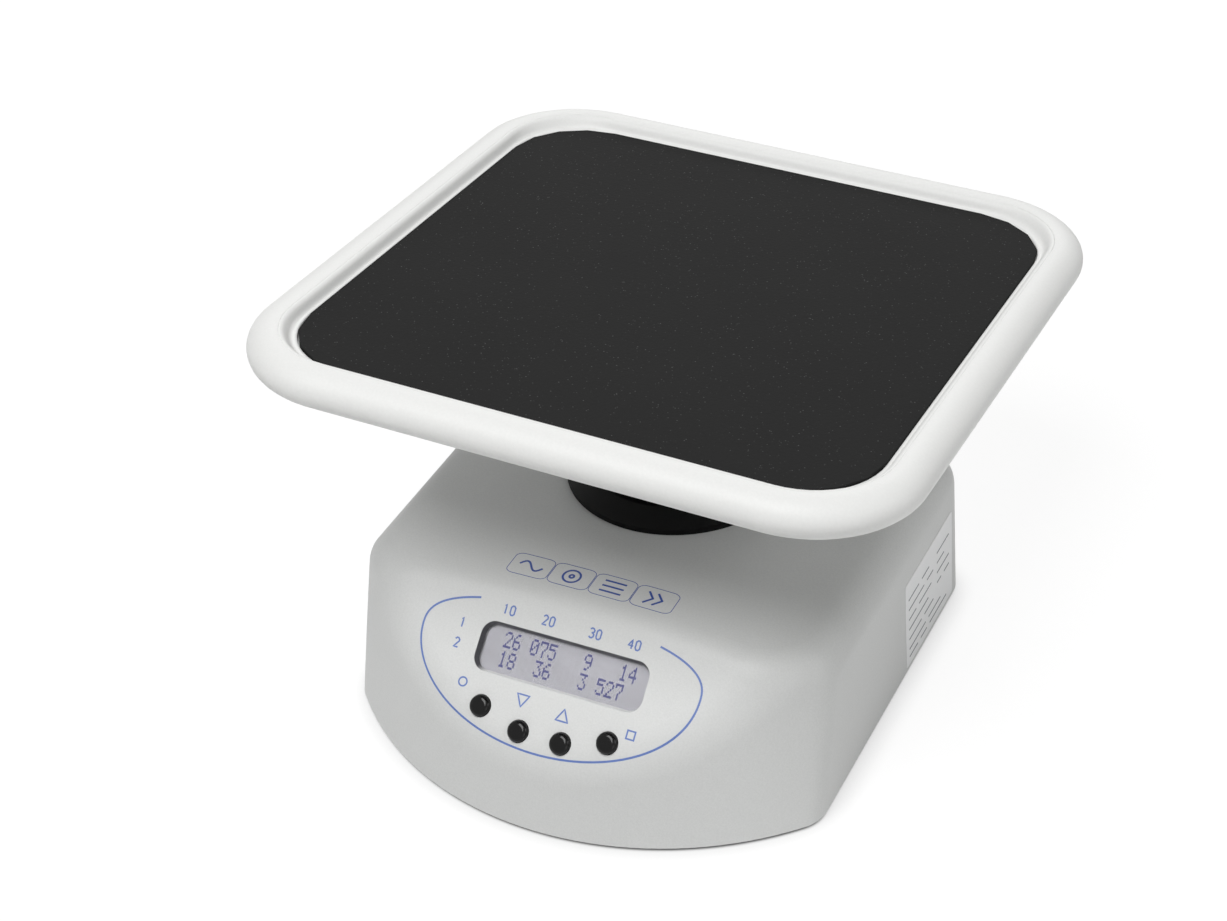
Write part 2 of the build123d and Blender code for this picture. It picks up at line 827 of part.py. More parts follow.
# Crank head with the inclined stub
with BuildPart() as crank_head:
    with BuildSketch(Plane.XY.offset(crank_low_z)):
        Circle(crank_radius)
    extrude(amount=crank_high_z - crank_low_z)
    chamfer(crank_head.edges().filter_by(GeomType.CIRCLE), crank_edge)
    shoulder_root = (crank_high_z - pivot_z) / cos(radians(lean_angle)) - crank_edge
    with BuildSketch(deck_plane(shoulder_root)):
        Circle(stub_shoulder_radius)
    extrude(amount=stub_seat - shoulder_root)
    with BuildSketch(deck_plane(stub_seat)):
        Circle(stub_radius)
    extrude(amount=stub_top - stub_seat)
    with BuildSketch(deck_plane(stub_top)):
        Circle(stub_screw_radius + seat_slip)
    extrude(amount=-stub_screw_depth, mode=Mode.SUBTRACT)
    with Locations(Plane(origin=(0, 0, crank_low_z), z_dir=(0, 0, -1))):
        Hole(spindle_radius + seat_slip, depth=spindle_high_z - crank_low_z)
    with BuildSketch(Plane.YZ):
        with Locations((0, (crank_low_z + spindle_high_z) / 2)):
            Circle(grub_radius + seat_slip)
    extrude(amount=crank_radius, mode=Mode.SUBTRACT)
finish(crank_head, "crank_head")

with BuildPart() as crank_grub_screw:
    with BuildSketch(Plane.YZ.offset(spindle_radius + seat_slip)):
        with Locations((0, (crank_low_z + spindle_high_z) / 2)):
            Circle(grub_radius)
    extrude(amount=crank_radius - spindle_radius - crank_edge)
finish(crank_grub_screw, "crank_grub_screw")

with BuildPart() as stub_washer:
    with BuildSketch(deck_plane(stub_top)):
        Circle(washer_radius)
        Circle(stub_screw_radius + slip, mode=Mode.SUBTRACT)
    extrude(amount=washer_thickness)
finish(stub_washer, "stub_washer")

with BuildPart() as stub_screw:
    reach = stub_screw_depth + washer_thickness - slip
    over = deck_plane(stub_top + washer_thickness)
    add(screw(over, stub_screw_radius, reach, stub_screw_head_radius, stub_screw_head))
finish(stub_screw, "stub_screw")

# Platform hub
hub_section = Plane(origin=pivot, x_dir=tilt_x, z_dir=tilt_x.cross(tilt_z))
hub_bore = hub_bearing_radius + seat_slip
with BuildPart() as platform_hub:
    with BuildSketch(hub_section):
        with BuildLine():
            Polyline(
                (hub_sleeve_radius, hub_sleeve_low),
                (hub_sleeve_radius, hub_bell_low),
                (hub_bell_radius, hub_bell_low),
                (hub_bell_radius, hub_flange_low),
                (hub_flange_radius, hub_flange_low),
                (hub_flange_radius, floor_low),
                (hub_bell_radius - hub_bell_wall, floor_low),
                (hub_bell_radius - hub_bell_wall, hub_bell_low + hub_bell_wall),
                (hub_bore, hub_bell_low + hub_bell_wall),
                (hub_bore, hub_bearing_high),
                (hub_shoulder_radius, hub_bearing_high),
                (hub_shoulder_radius, hub_bearing_low + hub_bearing_width),
                (hub_bore, hub_bearing_low + hub_bearing_width),
                (hub_bore, hub_sleeve_low),
                close=True,
            )
        make_face()
    revolve(axis=Axis(pivot, tilt_z))
    with BuildSketch(deck_plane(floor_low)):
        with Locations(*hub_screw_spots):
            Circle(tray_screw_radius + seat_slip)
    extrude(amount=-hub_flange, mode=Mode.SUBTRACT)
finish(platform_hub, "platform_hub")

stub_bore = stub_radius + running_slip
with BuildPart() as hub_bearings:
    for low in (hub_bearing_low, hub_bearing_high):
        seat = deck_plane(low)
        add(ball_bearing(seat, stub_bore, hub_bearing_radius, hub_bearing_width, hub_bearing_race))
finish(hub_bearings, "hub_bearings")

with BuildPart() as tray_screws:
    for x, y in hub_screw_spots:
        place = deck_plane(hub_flange_low)
        spot = place.from_local_coords((x, y, 0))
        under = Plane(origin=spot, x_dir=tilt_x, z_dir=-tilt_z)
        add(screw(under, tray_screw_radius, tray_screw_length, tray_screw_head_radius, tray_screw_head))
finish(tray_screws, "tray_screws")


def is_pocket_edge(edge):
    """Whether an edge runs round the top or the bottom of the pocket for the mat."""
    spot = deck_plane(0).to_local_coords(edge.center())
    reach = max(abs(spot.X), abs(spot.Y))
    return reach < floor_half + slip and spot.Z > rim_level and edge.length > rim_half_height


# Tray: a round rim swept round a flat floor
with BuildPart() as tray:
    with BuildSketch(deck_plane(rim_level), mode=Mode.PRIVATE) as rim_outline:
        RectangleRounded(2 * rim_half, 2 * rim_half, rim_corner)
    rim_path = rim_outline.sketch.face().outer_wire()
    rim_start = rim_path.position_at(0)
    with BuildSketch(Plane(origin=rim_start, x_dir=tilt_z, z_dir=rim_path.tangent_at(0))):
        Ellipse(rim_half_height, rim_half_width)
    sweep(path=rim_path)
    with BuildSketch(deck_plane(floor_low)):
        RectangleRounded(2 * rim_half, 2 * rim_half, rim_corner)
    extrude(amount=floor_thickness)
    with BuildSketch(deck_plane(mat_low)):
        RectangleRounded(2 * floor_half, 2 * floor_half, floor_corner)
    extrude(amount=2 * rim_half_height, mode=Mode.SUBTRACT)
    fillet(tray.edges().filter_by(is_pocket_edge), rim_inner_edge)
    with BuildSketch(deck_plane(floor_low)):
        with Locations(*hub_screw_spots):
            Circle(tray_screw_radius + seat_slip)
    extrude(amount=tray_screw_length - hub_flange + slip / 2, mode=Mode.SUBTRACT)
finish(tray, "tray")

with BuildPart() as mat:
    with BuildSketch(deck_plane(mat_low)):
        RectangleRounded(2 * mat_half, 2 * mat_half, mat_corner)
    extrude(amount=mat_thickness)
    fillet(mat.faces().sort_by(Axis(pivot, tilt_z))[-1].edges(), mat_edge)
finish(mat, "mat")

# Collar and boot
with BuildPart() as boot_collar:
    with BuildSketch(Plane.XZ):
        with BuildLine():
            Polyline(
                (boot_low_radius + slip, crown_z - collar_spigot),
                (opening_radius - seat_slip, crown_z - collar_spigot),
                (opening_radius - seat_slip, crown_z - mid_wall),
                (collar_radius, crown_z - mid_wall),
                (collar_radius, crown_z + collar_rim_height),
                (boot_low_radius + slip + collar_land, crown_z + collar_height),
                (boot_low_radius + slip, crown_z + collar_height),
                close=True,
            )
        make_face()
    revolve(axis=Axis.Z)
    add(housing.part, mode=Mode.SUBTRACT)
finish(boot_collar, "boot_collar")


def boot_plane(share):
    """Plane square to the boot's bent centre line, a share of the way up its ribs."""
    low = Vector(0, 0, boot_rib_start_z)
    high = pivot + tilt_z * boot_rib_end
    centre = low * (1 - share) ** 2 + pivot * (2 * share * (1 - share)) + high * share**2
    direction = (pivot - low) * (1 - share) + (high - pivot) * share
    upward = direction.normalized()
    side = Vector(1, 0, 0)
    return Plane(origin=centre, x_dir=side - upward * side.dot(upward), z_dir=direction)


def boot_solid(inset):
    """The boot's outer form, or the same form drawn in by its thickness."""
    rings = [
        (Plane.XY.offset(boot_low_z), boot_low_radius),
        (Plane.XY.offset(boot_rib_start_z - slip), boot_low_radius),
    ]
    for rib in range(boot_ribs):
        for step, valley in rib_shape:
            share = (rib + step) / boot_ribs
            peak = boot_low_radius + (boot_high_radius - boot_low_radius) * share
            rings.append((boot_plane(share), peak - boot_rib_depth if valley else peak))
    rings.append((deck_plane(boot_cuff_low), boot_cuff_outer))
    rings.append((deck_plane(boot_cuff_low + boot_cuff_length), boot_cuff_outer))
    with BuildPart() as solid:
        for plane, radius in rings:
            with BuildSketch(plane):
                Circle(radius - inset)
        loft(ruled=True)
    return solid.part


boot_outer = boot_solid(0)
boot_inner = boot_solid(boot_thickness)
with BuildPart() as boot:
    add(boot_outer)
    add(boot_inner, mode=Mode.SUBTRACT)
finish(boot, "boot")

with BuildPart() as boot_clamp:
    with BuildSketch(deck_plane(boot_cuff_low + (boot_cuff_length - clamp_height) / 2)):
        Circle(boot_cuff_outer + slip + clamp_thickness)
        Circle(boot_cuff_outer + slip, mode=Mode.SUBTRACT)
    extrude(amount=clamp_height)
finish(boot_clamp, "boot_clamp")

# Display
with BuildPart() as display_window:
    with BuildSketch(panel_plane(-wall, controls_x, window_up)):
        RectangleRounded(window_width + 2 * pane_margin, window_height + 2 * pane_margin, pane_margin)
    extrude(amount=-pane_thickness)
finish(display_window, "display_window")

with BuildPart() as display_glass:
    with BuildSketch(panel_plane(glass_high, controls_x, window_up)):
        Rectangle(glass_width, glass_height)
    extrude(amount=-glass_thickness)
finish(display_glass, "display_glass")

with BuildPart() as display_module:
    with BuildSketch(panel_plane(bezel_high, controls_x, window_up)):
        Rectangle(bezel_width, bezel_height)
    extrude(amount=-bezel_depth)
    with BuildSketch(panel_plane(bezel_high, controls_x, window_up)):
        Rectangle(glass_width + 2 * seat_slip, glass_height + 2 * seat_slip)
    extrude(amount=-(glass_thickness - bezel_lip), mode=Mode.SUBTRACT)
    with BuildSketch(panel_plane(bezel_low, controls_x, window_up)):
        Rectangle(module_width, module_height)
    extrude(amount=-board_thickness)
    with BuildSketch(panel_plane(bezel_low, controls_x, window_up)):
        with GridLocations(module_hole_x, module_hole_y, 2, 2):
            Circle(panel_screw_radius + seat_slip)
    extrude(amount=-board_thickness, mode=Mode.SUBTRACT)
finish(display_module, "display_module")

with BuildPart() as module_screws:
    for x, up in module_spots:
        place = panel_plane(bezel_low - board_thickness, x, up)
        under = Plane(origin=place.origin, x_dir=(1, 0, 0), z_dir=-panel_out)
        length = board_thickness + panel_screw_depth - slip
        add(screw(under, panel_screw_radius, length, panel_screw_head_radius, panel_screw_head))
finish(module_screws, "module_screws")

# Key board, its switches and the four buttons
with BuildPart() as key_board:
    with BuildSketch(panel_plane(key_board_high, controls_x, key_board_up)):
        Rectangle(key_board_width, key_board_height)
        with Locations((-key_board_hole_x / 2, 0), (key_board_hole_x / 2, 0)):
            Circle(panel_screw_radius + seat_slip, mode=Mode.SUBTRACT)
    extrude(amount=-board_thickness)
finish(key_board, "key_board")

with BuildPart() as key_screws:
    for x, up in key_board_spots:
        place = panel_plane(key_board_high - board_thickness, x, up)
        under = Plane(origin=place.origin, x_dir=(1, 0, 0), z_dir=-panel_out)
        length = board_thickness + panel_screw_depth - slip
        add(screw(under, panel_screw_radius, length, panel_screw_head_radius, panel_screw_head))
finish(key_screws, "key_screws")

with BuildPart() as key_switches:
    for x, up in button_spots.values():
        with BuildSketch(panel_plane(key_board_high, controls_x + x, up)):
            Rectangle(key_size, key_size)
        extrude(amount=key_height)
        with BuildSketch(panel_plane(key_board_high + key_height, controls_x + x, up)):
            Circle(key_plunger_radius)
        extrude(amount=key_plunger)
finish(key_switches, "key_switches")

for button_name, (x, up) in button_spots.items():
    with BuildPart() as button:
        with BuildSketch(panel_plane(-wall - button_seat, controls_x + x, up)):
            Circle(button_radius)
        extrude(amount=wall + button_seat + button_rise)
        rings = button.edges().filter_by(GeomType.CIRCLE)
        fillet(rings.sort_by(Axis((0, 0, 0), panel_out))[-1], button_edge)
        with BuildSketch(panel_plane(-wall - button_seat, controls_x + x, up)):
            Circle(button_flange_radius)
        extrude(amount=-button_flange)
        with BuildSketch(panel_plane(-wall - button_seat - button_flange, controls_x + x, up)):
            Circle(button_stem_radius)
        extrude(amount=-(-wall - button_seat - button_flange - key_top - button_travel - button_seat))
    finish(button, button_name)

# Main board on the base plate
board_low_z = base_top_z + main_board_lift
board_high_z = board_low_z + board_thickness

with BuildPart() as board_standoffs:
    with BuildSketch(Plane.XY.offset(base_top_z)):
        with Locations(*main_board_spots):
            Circle(standoff_radius)
            Circle(board_screw_radius + seat_slip, mode=Mode.SUBTRACT)
    extrude(amount=main_board_lift)
finish(board_standoffs, "board_standoffs")

with BuildPart() as main_board:
    with BuildSketch(Plane.XY.offset(board_low_z)):
        with Locations((main_board_x, main_board_y)):
            Rectangle(main_board_width, main_board_length)
        with Locations(*main_board_spots):
            Circle(board_screw_radius + seat_slip, mode=Mode.SUBTRACT)
    extrude(amount=board_thickness)
finish(main_board, "main_board")

with BuildPart() as board_screws:
    for x, y in main_board_spots:
        over = Plane(origin=(x, y, board_high_z))
        add(screw(over, board_screw_radius, board_screw_length, board_screw_head_radius, board_screw_head))
finish(board_screws, "board_screws")

with BuildPart() as driver_cooler:
    with BuildSketch(Plane.XY.offset(board_high_z)):
        with Locations((main_board_x, cooler_y)):
            Rectangle(cooler_width, cooler_depth)
    extrude(amount=cooler_base)
    fin_pitch = (cooler_width - cooler_fin) / (cooler_fins - 1)
    with BuildSketch(Plane.XY.offset(board_high_z)):
        with Locations((main_board_x, cooler_y)):
            with GridLocations(fin_pitch, 1, cooler_fins, 1):
                Rectangle(cooler_fin, cooler_depth)
    extrude(amount=cooler_height)
finish(driver_cooler, "driver_cooler")

with BuildPart() as capacitors:
    with BuildSketch(Plane.XY.offset(board_high_z)):
        with Locations((main_board_x, capacitor_y)):
            with GridLocations(capacitor_pitch, 1, 2, 1):
                Circle(capacitor_radius)
    extrude(amount=capacitor_height)
    fillet(capacitors.edges().group_by(Axis.Z)[-1], capacitor_edge)
finish(capacitors, "capacitors")

# Power socket and switch in the rear wall
with BuildPart() as power_socket:
    with BuildSketch(rear_plane(socket_x, socket_z)):
        Circle(socket_flange_radius)
    extrude(amount=socket_flange)
    with BuildSketch(rear_plane(socket_x, socket_z)):
        Circle(socket_radius)
    extrude(amount=-socket_depth)
    with BuildSketch(rear_plane(socket_x, socket_z, socket_flange)):
        Circle(socket_bore)
        Circle(socket_pin_radius, mode=Mode.SUBTRACT)
    extrude(amount=-socket_bore_depth, mode=Mode.SUBTRACT)
    with BuildSketch(rear_plane(socket_x, socket_z, socket_flange)):
        Circle(socket_pin_radius)
    extrude(amount=-socket_flange, mode=Mode.SUBTRACT)
finish(power_socket, "power_socket")

with BuildPart() as socket_nut:
    with BuildSketch(rear_plane(socket_x, socket_z, -wall / cos(radians(side_draft)))):
        RegularPolygon(socket_flange_radius, 6, major_radius=False)
        Circle(socket_radius + seat_slip, mode=Mode.SUBTRACT)
    extrude(amount=-socket_nut_thickness)
finish(socket_nut, "socket_nut")

pocket_width = switch_body_width - 2 * switch_wall
pocket_height = switch_body_height - 2 * switch_wall
pocket_depth = rocker_pivot_depth + rocker_radius + slip
with BuildPart() as switch_frame:
    with BuildSketch(rear_plane(switch_x, switch_z)):
        RectangleRounded(switch_width, switch_height, switch_flange)
    extrude(amount=switch_flange)
    with BuildSketch(rear_plane(switch_x, switch_z)):
        Rectangle(switch_body_width, switch_body_height)
    extrude(amount=-switch_body_depth)
    with BuildSketch(rear_plane(switch_x, switch_z, switch_flange)):
        Rectangle(pocket_width, pocket_height)
    extrude(amount=-switch_flange - pocket_depth, mode=Mode.SUBTRACT)
    across = rear_plane(switch_x, switch_z, -rocker_pivot_depth)
    pin_plane = Plane(origin=across.origin, x_dir=across.x_dir, z_dir=-across.y_dir)
    with BuildSketch(pin_plane):
        Circle(rocker_pin_radius + running_slip)
    extrude(amount=switch_body_height / 2 - slip, both=True, mode=Mode.SUBTRACT)
finish(switch_frame, "switch_frame")

rocker_top = rocker_pivot_depth + switch_flange + rocker_rise
rocker_side_rise = rocker_radius * tan(radians(rocker_swing / 2))
with BuildPart() as power_rocker:
    with BuildSketch(pin_plane.rotated((0, 0, rocker_swing / 2))):
        Circle(rocker_radius)
        with BuildLine():
            Polyline(
                (-rocker_radius, -rocker_floor),
                (rocker_radius, -rocker_floor),
                (rocker_radius, rocker_top + rocker_side_rise),
                (0, rocker_top),
                (-rocker_radius, rocker_top + rocker_side_rise),
                close=True,
            )
        make_face(mode=Mode.INTERSECT)
    extrude(amount=pocket_height / 2 - slip, both=True)
    with BuildSketch(pin_plane):
        Circle(rocker_pin_radius)
    extrude(amount=switch_body_height / 2 - 2 * slip, both=True)
finish(power_rocker, "power_rocker")
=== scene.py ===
# %% [markdown]
# # A three-dimensional laboratory shaker
# The real instrument is a small bench machine. A pale moulded housing holds a motor, a belt and a
# crank. The crank carries a square white tray on a leaning stub, so the tray nods round without
# turning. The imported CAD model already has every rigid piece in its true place, in metres. This
# script leaves those pieces where they are, gives them finishes, and builds what CAD does badly: the
# foam mat, the rolled edge of the tray, the rubber boot, the printed marks and the dotted figures of
# the display.

from math import ceil, cos, pi, radians, sin, sqrt

import bmesh
import bpy
from mathutils import Matrix, Vector
from mathutils.bvhtree import BVHTree


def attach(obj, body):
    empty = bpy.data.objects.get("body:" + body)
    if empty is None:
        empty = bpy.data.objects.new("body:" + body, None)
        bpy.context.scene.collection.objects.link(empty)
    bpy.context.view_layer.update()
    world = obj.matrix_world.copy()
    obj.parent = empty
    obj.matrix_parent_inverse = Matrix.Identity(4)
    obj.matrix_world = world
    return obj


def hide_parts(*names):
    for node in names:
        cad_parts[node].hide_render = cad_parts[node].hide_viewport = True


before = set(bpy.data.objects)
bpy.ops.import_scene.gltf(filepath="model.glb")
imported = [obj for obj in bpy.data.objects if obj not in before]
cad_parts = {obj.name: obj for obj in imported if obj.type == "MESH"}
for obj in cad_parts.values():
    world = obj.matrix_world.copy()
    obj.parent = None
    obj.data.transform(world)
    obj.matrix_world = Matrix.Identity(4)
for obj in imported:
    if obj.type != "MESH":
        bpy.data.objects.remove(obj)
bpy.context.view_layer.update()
mm = 0.001

# %% [markdown]
# ## The camera
# The view is a long lens looking down on the instrument from its front right corner. The tray's
# square outline and the straight edges of the housing fix the place, the aim and the slight roll.

# %% Camera
camera_place = Vector((0.3200, -0.6189, 0.5972))
camera_turn = (radians(52.729), radians(3.835), radians(26.324))
camera_lens = 72.0
sensor_width = 36.0

camera_data = bpy.data.cameras.new("camera")
camera_data.lens = camera_lens
camera_data.sensor_width = sensor_width
camera_data.sensor_fit = "HORIZONTAL"
camera_data.clip_start = 0.01
camera = bpy.data.objects.new("camera", camera_data)
camera.location = camera_place
camera.rotation_euler = camera_turn
bpy.context.scene.collection.objects.link(camera)
bpy.context.scene.camera = camera
print("camera height above the bench:", round(camera_place.z, 3), "m")

# %% [markdown]
# ## Shader trees as expressions
# A finish is a small calculation: noise times a strength, plus a mask, and so on. Wiring each sum by
# hand hides the thought, so one small class wraps an output socket. Plus, minus and times then add
# Math nodes, and one method adds any other node from its type, its settings and its inputs.


# %% A wrapped socket
class Signal:
    """One output socket of a shader tree, which Python's operators work on."""

    def __init__(self, tree, socket):
        self.tree = tree
        self.socket = socket

    def node(self, kind, settings=None, inputs=None, output=0):
        """Adds a node: first its settings, then the values or links of its sockets."""
        added = self.tree.nodes.new(kind)
        for name, value in (settings or {}).items():
            if name == "stops":
                set_stops(added.color_ramp, value)
            else:
                setattr(added, name, value)
        for name, value in (inputs or {}).items():
            if isinstance(value, Signal):
                self.tree.links.new(value.socket, added.inputs[name])
            else:
                added.inputs[name].default_value = value
        return Signal(self.tree, added.outputs[output])

    def math(self, operation, *values):
        """A Math node on this signal and other values, in that order."""
        return self.node("ShaderNodeMath", {"operation": operation}, dict(enumerate((self, *values))))

    def __add__(self, other):
        return self.math("ADD", other)

    def __sub__(self, other):
        return self.math("SUBTRACT", other)

    def __mul__(self, other):
        return self.math("MULTIPLY", other)

    def __rsub__(self, other):
        return self.node("ShaderNodeMath", {"operation": "SUBTRACT"}, {0: other, 1: self})

    __radd__ = __add__
    __rmul__ = __mul__


def set_stops(ramp, stops):
    """Gives a colour ramp its stops, as pairs of place and grey value."""
    while len(ramp.elements) > 1:
        ramp.elements.remove(ramp.elements[-1])
    for index, (place, grey) in enumerate(stops):
        stop = ramp.elements[0] if index == 0 else ramp.elements.new(place)
        stop.position = place
        stop.color = (grey, grey, grey, 1.0)


# %% [markdown]
# ## Starting a finish
# Every finish begins the same way: a material, its one shader, and the place on the piece in the
# model's own metres. The place is the object coordinate, so a pattern keeps its real size and moves
# with the piece. Wear, dust and grain are then noise of a named size.


# %% Helpers for finishes
def start_finish(name, colour, roughness, metallic=0.0, **fixed):
    """A new material with its shader, and the place on the piece as a signal."""
    material = bpy.data.materials.new(name)
    material.use_nodes = True
    shader = material.node_tree.nodes["Principled BSDF"]
    shader.inputs["Base Color"].default_value = (*colour, 1.0)
    shader.inputs["Roughness"].default_value = roughness
    shader.inputs["Metallic"].default_value = metallic
    for socket, value in fixed.items():
        shader.inputs[socket.replace("_", " ")].default_value = value
    place = material.node_tree.nodes.new("ShaderNodeTexCoord").outputs["Object"]
    return material, shader, Signal(material.node_tree, place)


def feed(shader, socket, signal):
    """Links a signal to one of the shader's sockets."""
    signal.tree.links.new(signal.socket, shader.inputs[socket])


def grain(place, size, detail=3.0, roughness=0.55):
    """Noise with features of about the given size in metres."""
    return place.node("ShaderNodeTexNoise", {}, {
        "Vector": place, "Scale": 1 / size, "Detail": detail, "Roughness": roughness,
    })


def between(signal, low, high):
    """The signal's middle stretch as a mask from 0 to 1."""
    return signal.node("ShaderNodeMapRange", {}, {"Value": signal, "From Min": low, "From Max": high})


def mixed(mask, first, second):
    """A colour that goes from the first to the second as the mask goes from 0 to 1."""
    ends = {6: first if isinstance(first, Signal) else (*first, 1.0),
            7: second if isinstance(second, Signal) else (*second, 1.0)}
    return mask.node("ShaderNodeMix", {"data_type": "RGBA"}, {0: mask, **ends}, output=2)


def raised(height, distance):
    """A normal that follows a height signal, for a relief of the given depth in metres."""
    return height.node("ShaderNodeBump", {}, {"Height": height, "Distance": distance, "Strength": 1.0})


def shades(colour, low, high):
    """The same colour, darker and lighter."""
    return tuple(part * low for part in colour), tuple(part * high for part in colour)


def dress(finish, *names):
    """Gives CAD pieces a finish."""
    for name in names:
        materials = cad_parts[name].data.materials
        materials.clear()
        materials.append(finish)


# %% [markdown]
# ## Housing plastic
# The housing is moulded in pale neutral grey with a fine spark-eroded grain, which breaks up every
# highlight. The grain is a little over half a millimetre wide. It makes the colour slightly paler and
# darker, and it is also a bump, under a tenth of a millimetre deep. A soft cloud lets the speckle fade
# in places. The colour is linked further down, once the shade round the display is known.

# %% Housing finish
shell_grey = (0.655, 0.660, 0.655)
speckle_fade = 0.4
shell_finish, shell_shader, shell_place = start_finish("shell_plastic", shell_grey, 0.42)
cloud = grain(shell_place, 60 * mm)
pits = grain(shell_place, 0.6 * mm, 3.0, 0.7)
speckled = mixed(between(pits, 0.3, 0.7), *shades(shell_grey, 0.94, 1.05))
shell_colour = mixed(cloud * speckle_fade, speckled, shell_grey)
feed(shell_shader, "Roughness", 0.40 + 0.16 * pits)
feed(shell_shader, "Normal", raised(pits, 0.06 * mm))
dress(shell_finish, "housing")
print("housing finish:", shell_finish.name)

# %% [markdown]
# ## Tray enamel
# The tray is whiter than the housing and nearly matt, so its round rim shows only a broad soft light.
# A very slight waviness and faint specks keep that light from looking machined.

# %% Tray finish
tray_white = (0.805, 0.805, 0.795)
tray_finish, shader, place = start_finish("tray_enamel", tray_white, 0.50, Specular_IOR_Level=0.35)
ripple = grain(place, 9 * mm, 2.0)
specks = grain(place, 0.9 * mm, 2.0)
feed(shader, "Base Color", mixed(between(specks, 0.3, 0.7), *shades(tray_white, 0.98, 1.01)))
feed(shader, "Roughness", 0.44 + 0.12 * specks)
feed(shader, "Normal", raised(ripple, 0.04 * mm))
dress(tray_finish, "tray")
print("tray finish:", tray_finish.name)

# %% [markdown]
# ## Rubber
# The collar, the boot and the feet are black rubber. Real rubber is never quite black: skin and dust
# leave it a little grey in places, and its sheen is broad. The foam mat has its own finish, because
# its fine pale cells catch the light as specks.


# %% Rubber finishes
def rubber(name, colour, roughness, pore):
    """A black rubber with a soft dusty cloud and fine pores."""
    finish, shader, place = start_finish(name, colour, roughness, Specular_IOR_Level=0.12)
    dust = between(grain(place, 14 * mm), 0.45, 0.8)
    feed(shader, "Base Color", mixed(dust, *shades(colour, 0.8, 1.5)))
    feed(shader, "Roughness", roughness - 0.06 + 0.12 * grain(place, 3 * mm))
    feed(shader, "Normal", raised(grain(place, pore), 0.03 * mm))
    return finish


boot_finish = rubber("boot_rubber", (0.003, 0.003, 0.003), 0.5, 0.8 * mm)
foot_finish = rubber("foot_rubber", (0.020, 0.020, 0.020), 0.70, 0.6 * mm)
belt_finish = rubber("belt_rubber", (0.018, 0.018, 0.018), 0.60, 0.4 * mm)
dress(boot_finish, "boot_collar")
dress(foot_finish, "feet")
dress(belt_finish, "drive_belt")

mat_black = (0.009, 0.009, 0.009)
cell_grey = (0.085, 0.085, 0.085)
cell_size = 1.3 * mm
mat_finish, shader, place = start_finish("mat_foam", mat_black, 0.85, Specular_IOR_Level=0.15)
cells = place.node("ShaderNodeTexVoronoi", {"feature": "F1"}, {"Vector": place, "Scale": 1 / cell_size})
pale_cell = 1 - between(cells, 0.10, 0.22)
thinned = pale_cell * between(grain(place, 2.2 * mm), 0.50, 0.62)
skin = mixed(grain(place, 45 * mm), *shades(mat_black, 0.85, 1.2))
feed(shader, "Base Color", mixed(thinned, skin, cell_grey))
feed(shader, "Normal", raised(grain(place, 0.5 * mm) + cells, 0.05 * mm))
print("rubber finishes:", boot_finish.name, foot_finish.name, belt_finish.name, mat_finish.name)

# %% [markdown]
# ## Metals
# Zinc-plated sheet is blotchy and slightly blue, turned aluminium has fine rings round its axis, and
# ground steel is plain and bright. Noise that is squeezed along the axis draws such rings.


# %% Metal finishes
def metal(name, colour, roughness, squeeze, size):
    """A metal with fine scratches, squeezed by a factor along each axis."""
    finish, shader, place = start_finish(name, colour, roughness, metallic=1.0)
    brushed = place.node("ShaderNodeMapping", {}, {"Vector": place, "Scale": squeeze})
    lines = grain(brushed, size, 2.0)
    feed(shader, "Base Color", mixed(grain(place, 12 * mm), *shades(colour, 0.88, 1.08)))
    feed(shader, "Roughness", roughness - 0.08 + 0.16 * lines)
    feed(shader, "Normal", raised(lines, 0.01 * mm))
    return finish


zinc_finish = metal("zinc_plate", (0.55, 0.56, 0.58), 0.42, (1.0, 1.0, 1.0), 4 * mm)
turned_finish = metal("turned_aluminium", (0.75, 0.76, 0.78), 0.34, (1.0, 1.0, 14.0), 3 * mm)
screw_finish = metal("screw_steel", (0.56, 0.57, 0.59), 0.32, (1.0, 1.0, 3.0), 1 * mm)
ground_finish = metal("ground_steel", (0.66, 0.66, 0.68), 0.20, (1.0, 1.0, 20.0), 1 * mm)
dress(zinc_finish, "base_plate", "drive_plate")
dress(turned_finish, "drive_posts", "bearing_sleeve", "driven_pulley", "motor_pulley", "crank_head",
      "platform_hub", "board_standoffs", "driver_cooler")
dress(screw_finish, "base_screws", "post_top_screws", "post_foot_screws", "sleeve_screws",
      "driven_grub_screw", "motor_grub_screw", "motor_screws", "crank_grub_screw", "stub_washer",
      "stub_screw", "tray_screws", "module_screws", "key_screws", "board_screws", "socket_nut",
      "spindle_ring", "boot_clamp")
dress(ground_finish, "spindle", "motor_shaft", "spindle_bearings", "hub_bearings")
print("metal finishes:", zinc_finish.name, turned_finish.name, screw_finish.name, ground_finish.name)

# %% [markdown]
# ## Plastics, glass and boards
# The button caps are glossy black domes, which mirror the lamps as small bright spots. The other
# plastics are duller and a little paler, and all of them have the same kind of faint moulded grain.


# %% Plastic finishes
def moulded(name, colour, roughness, shine=0.5, texture=0.4 * mm, depth=0.008 * mm):
    """A moulded plastic with a faint surface grain."""
    finish, shader, place = start_finish(name, colour, roughness, Specular_IOR_Level=shine)
    fine = grain(place, texture, 2.0)
    feed(shader, "Base Color", mixed(grain(place, 6 * mm), *shades(colour, 0.9, 1.1)))
    feed(shader, "Roughness", roughness - 0.03 + 0.06 * fine)
    feed(shader, "Normal", raised(fine, depth))
    return finish


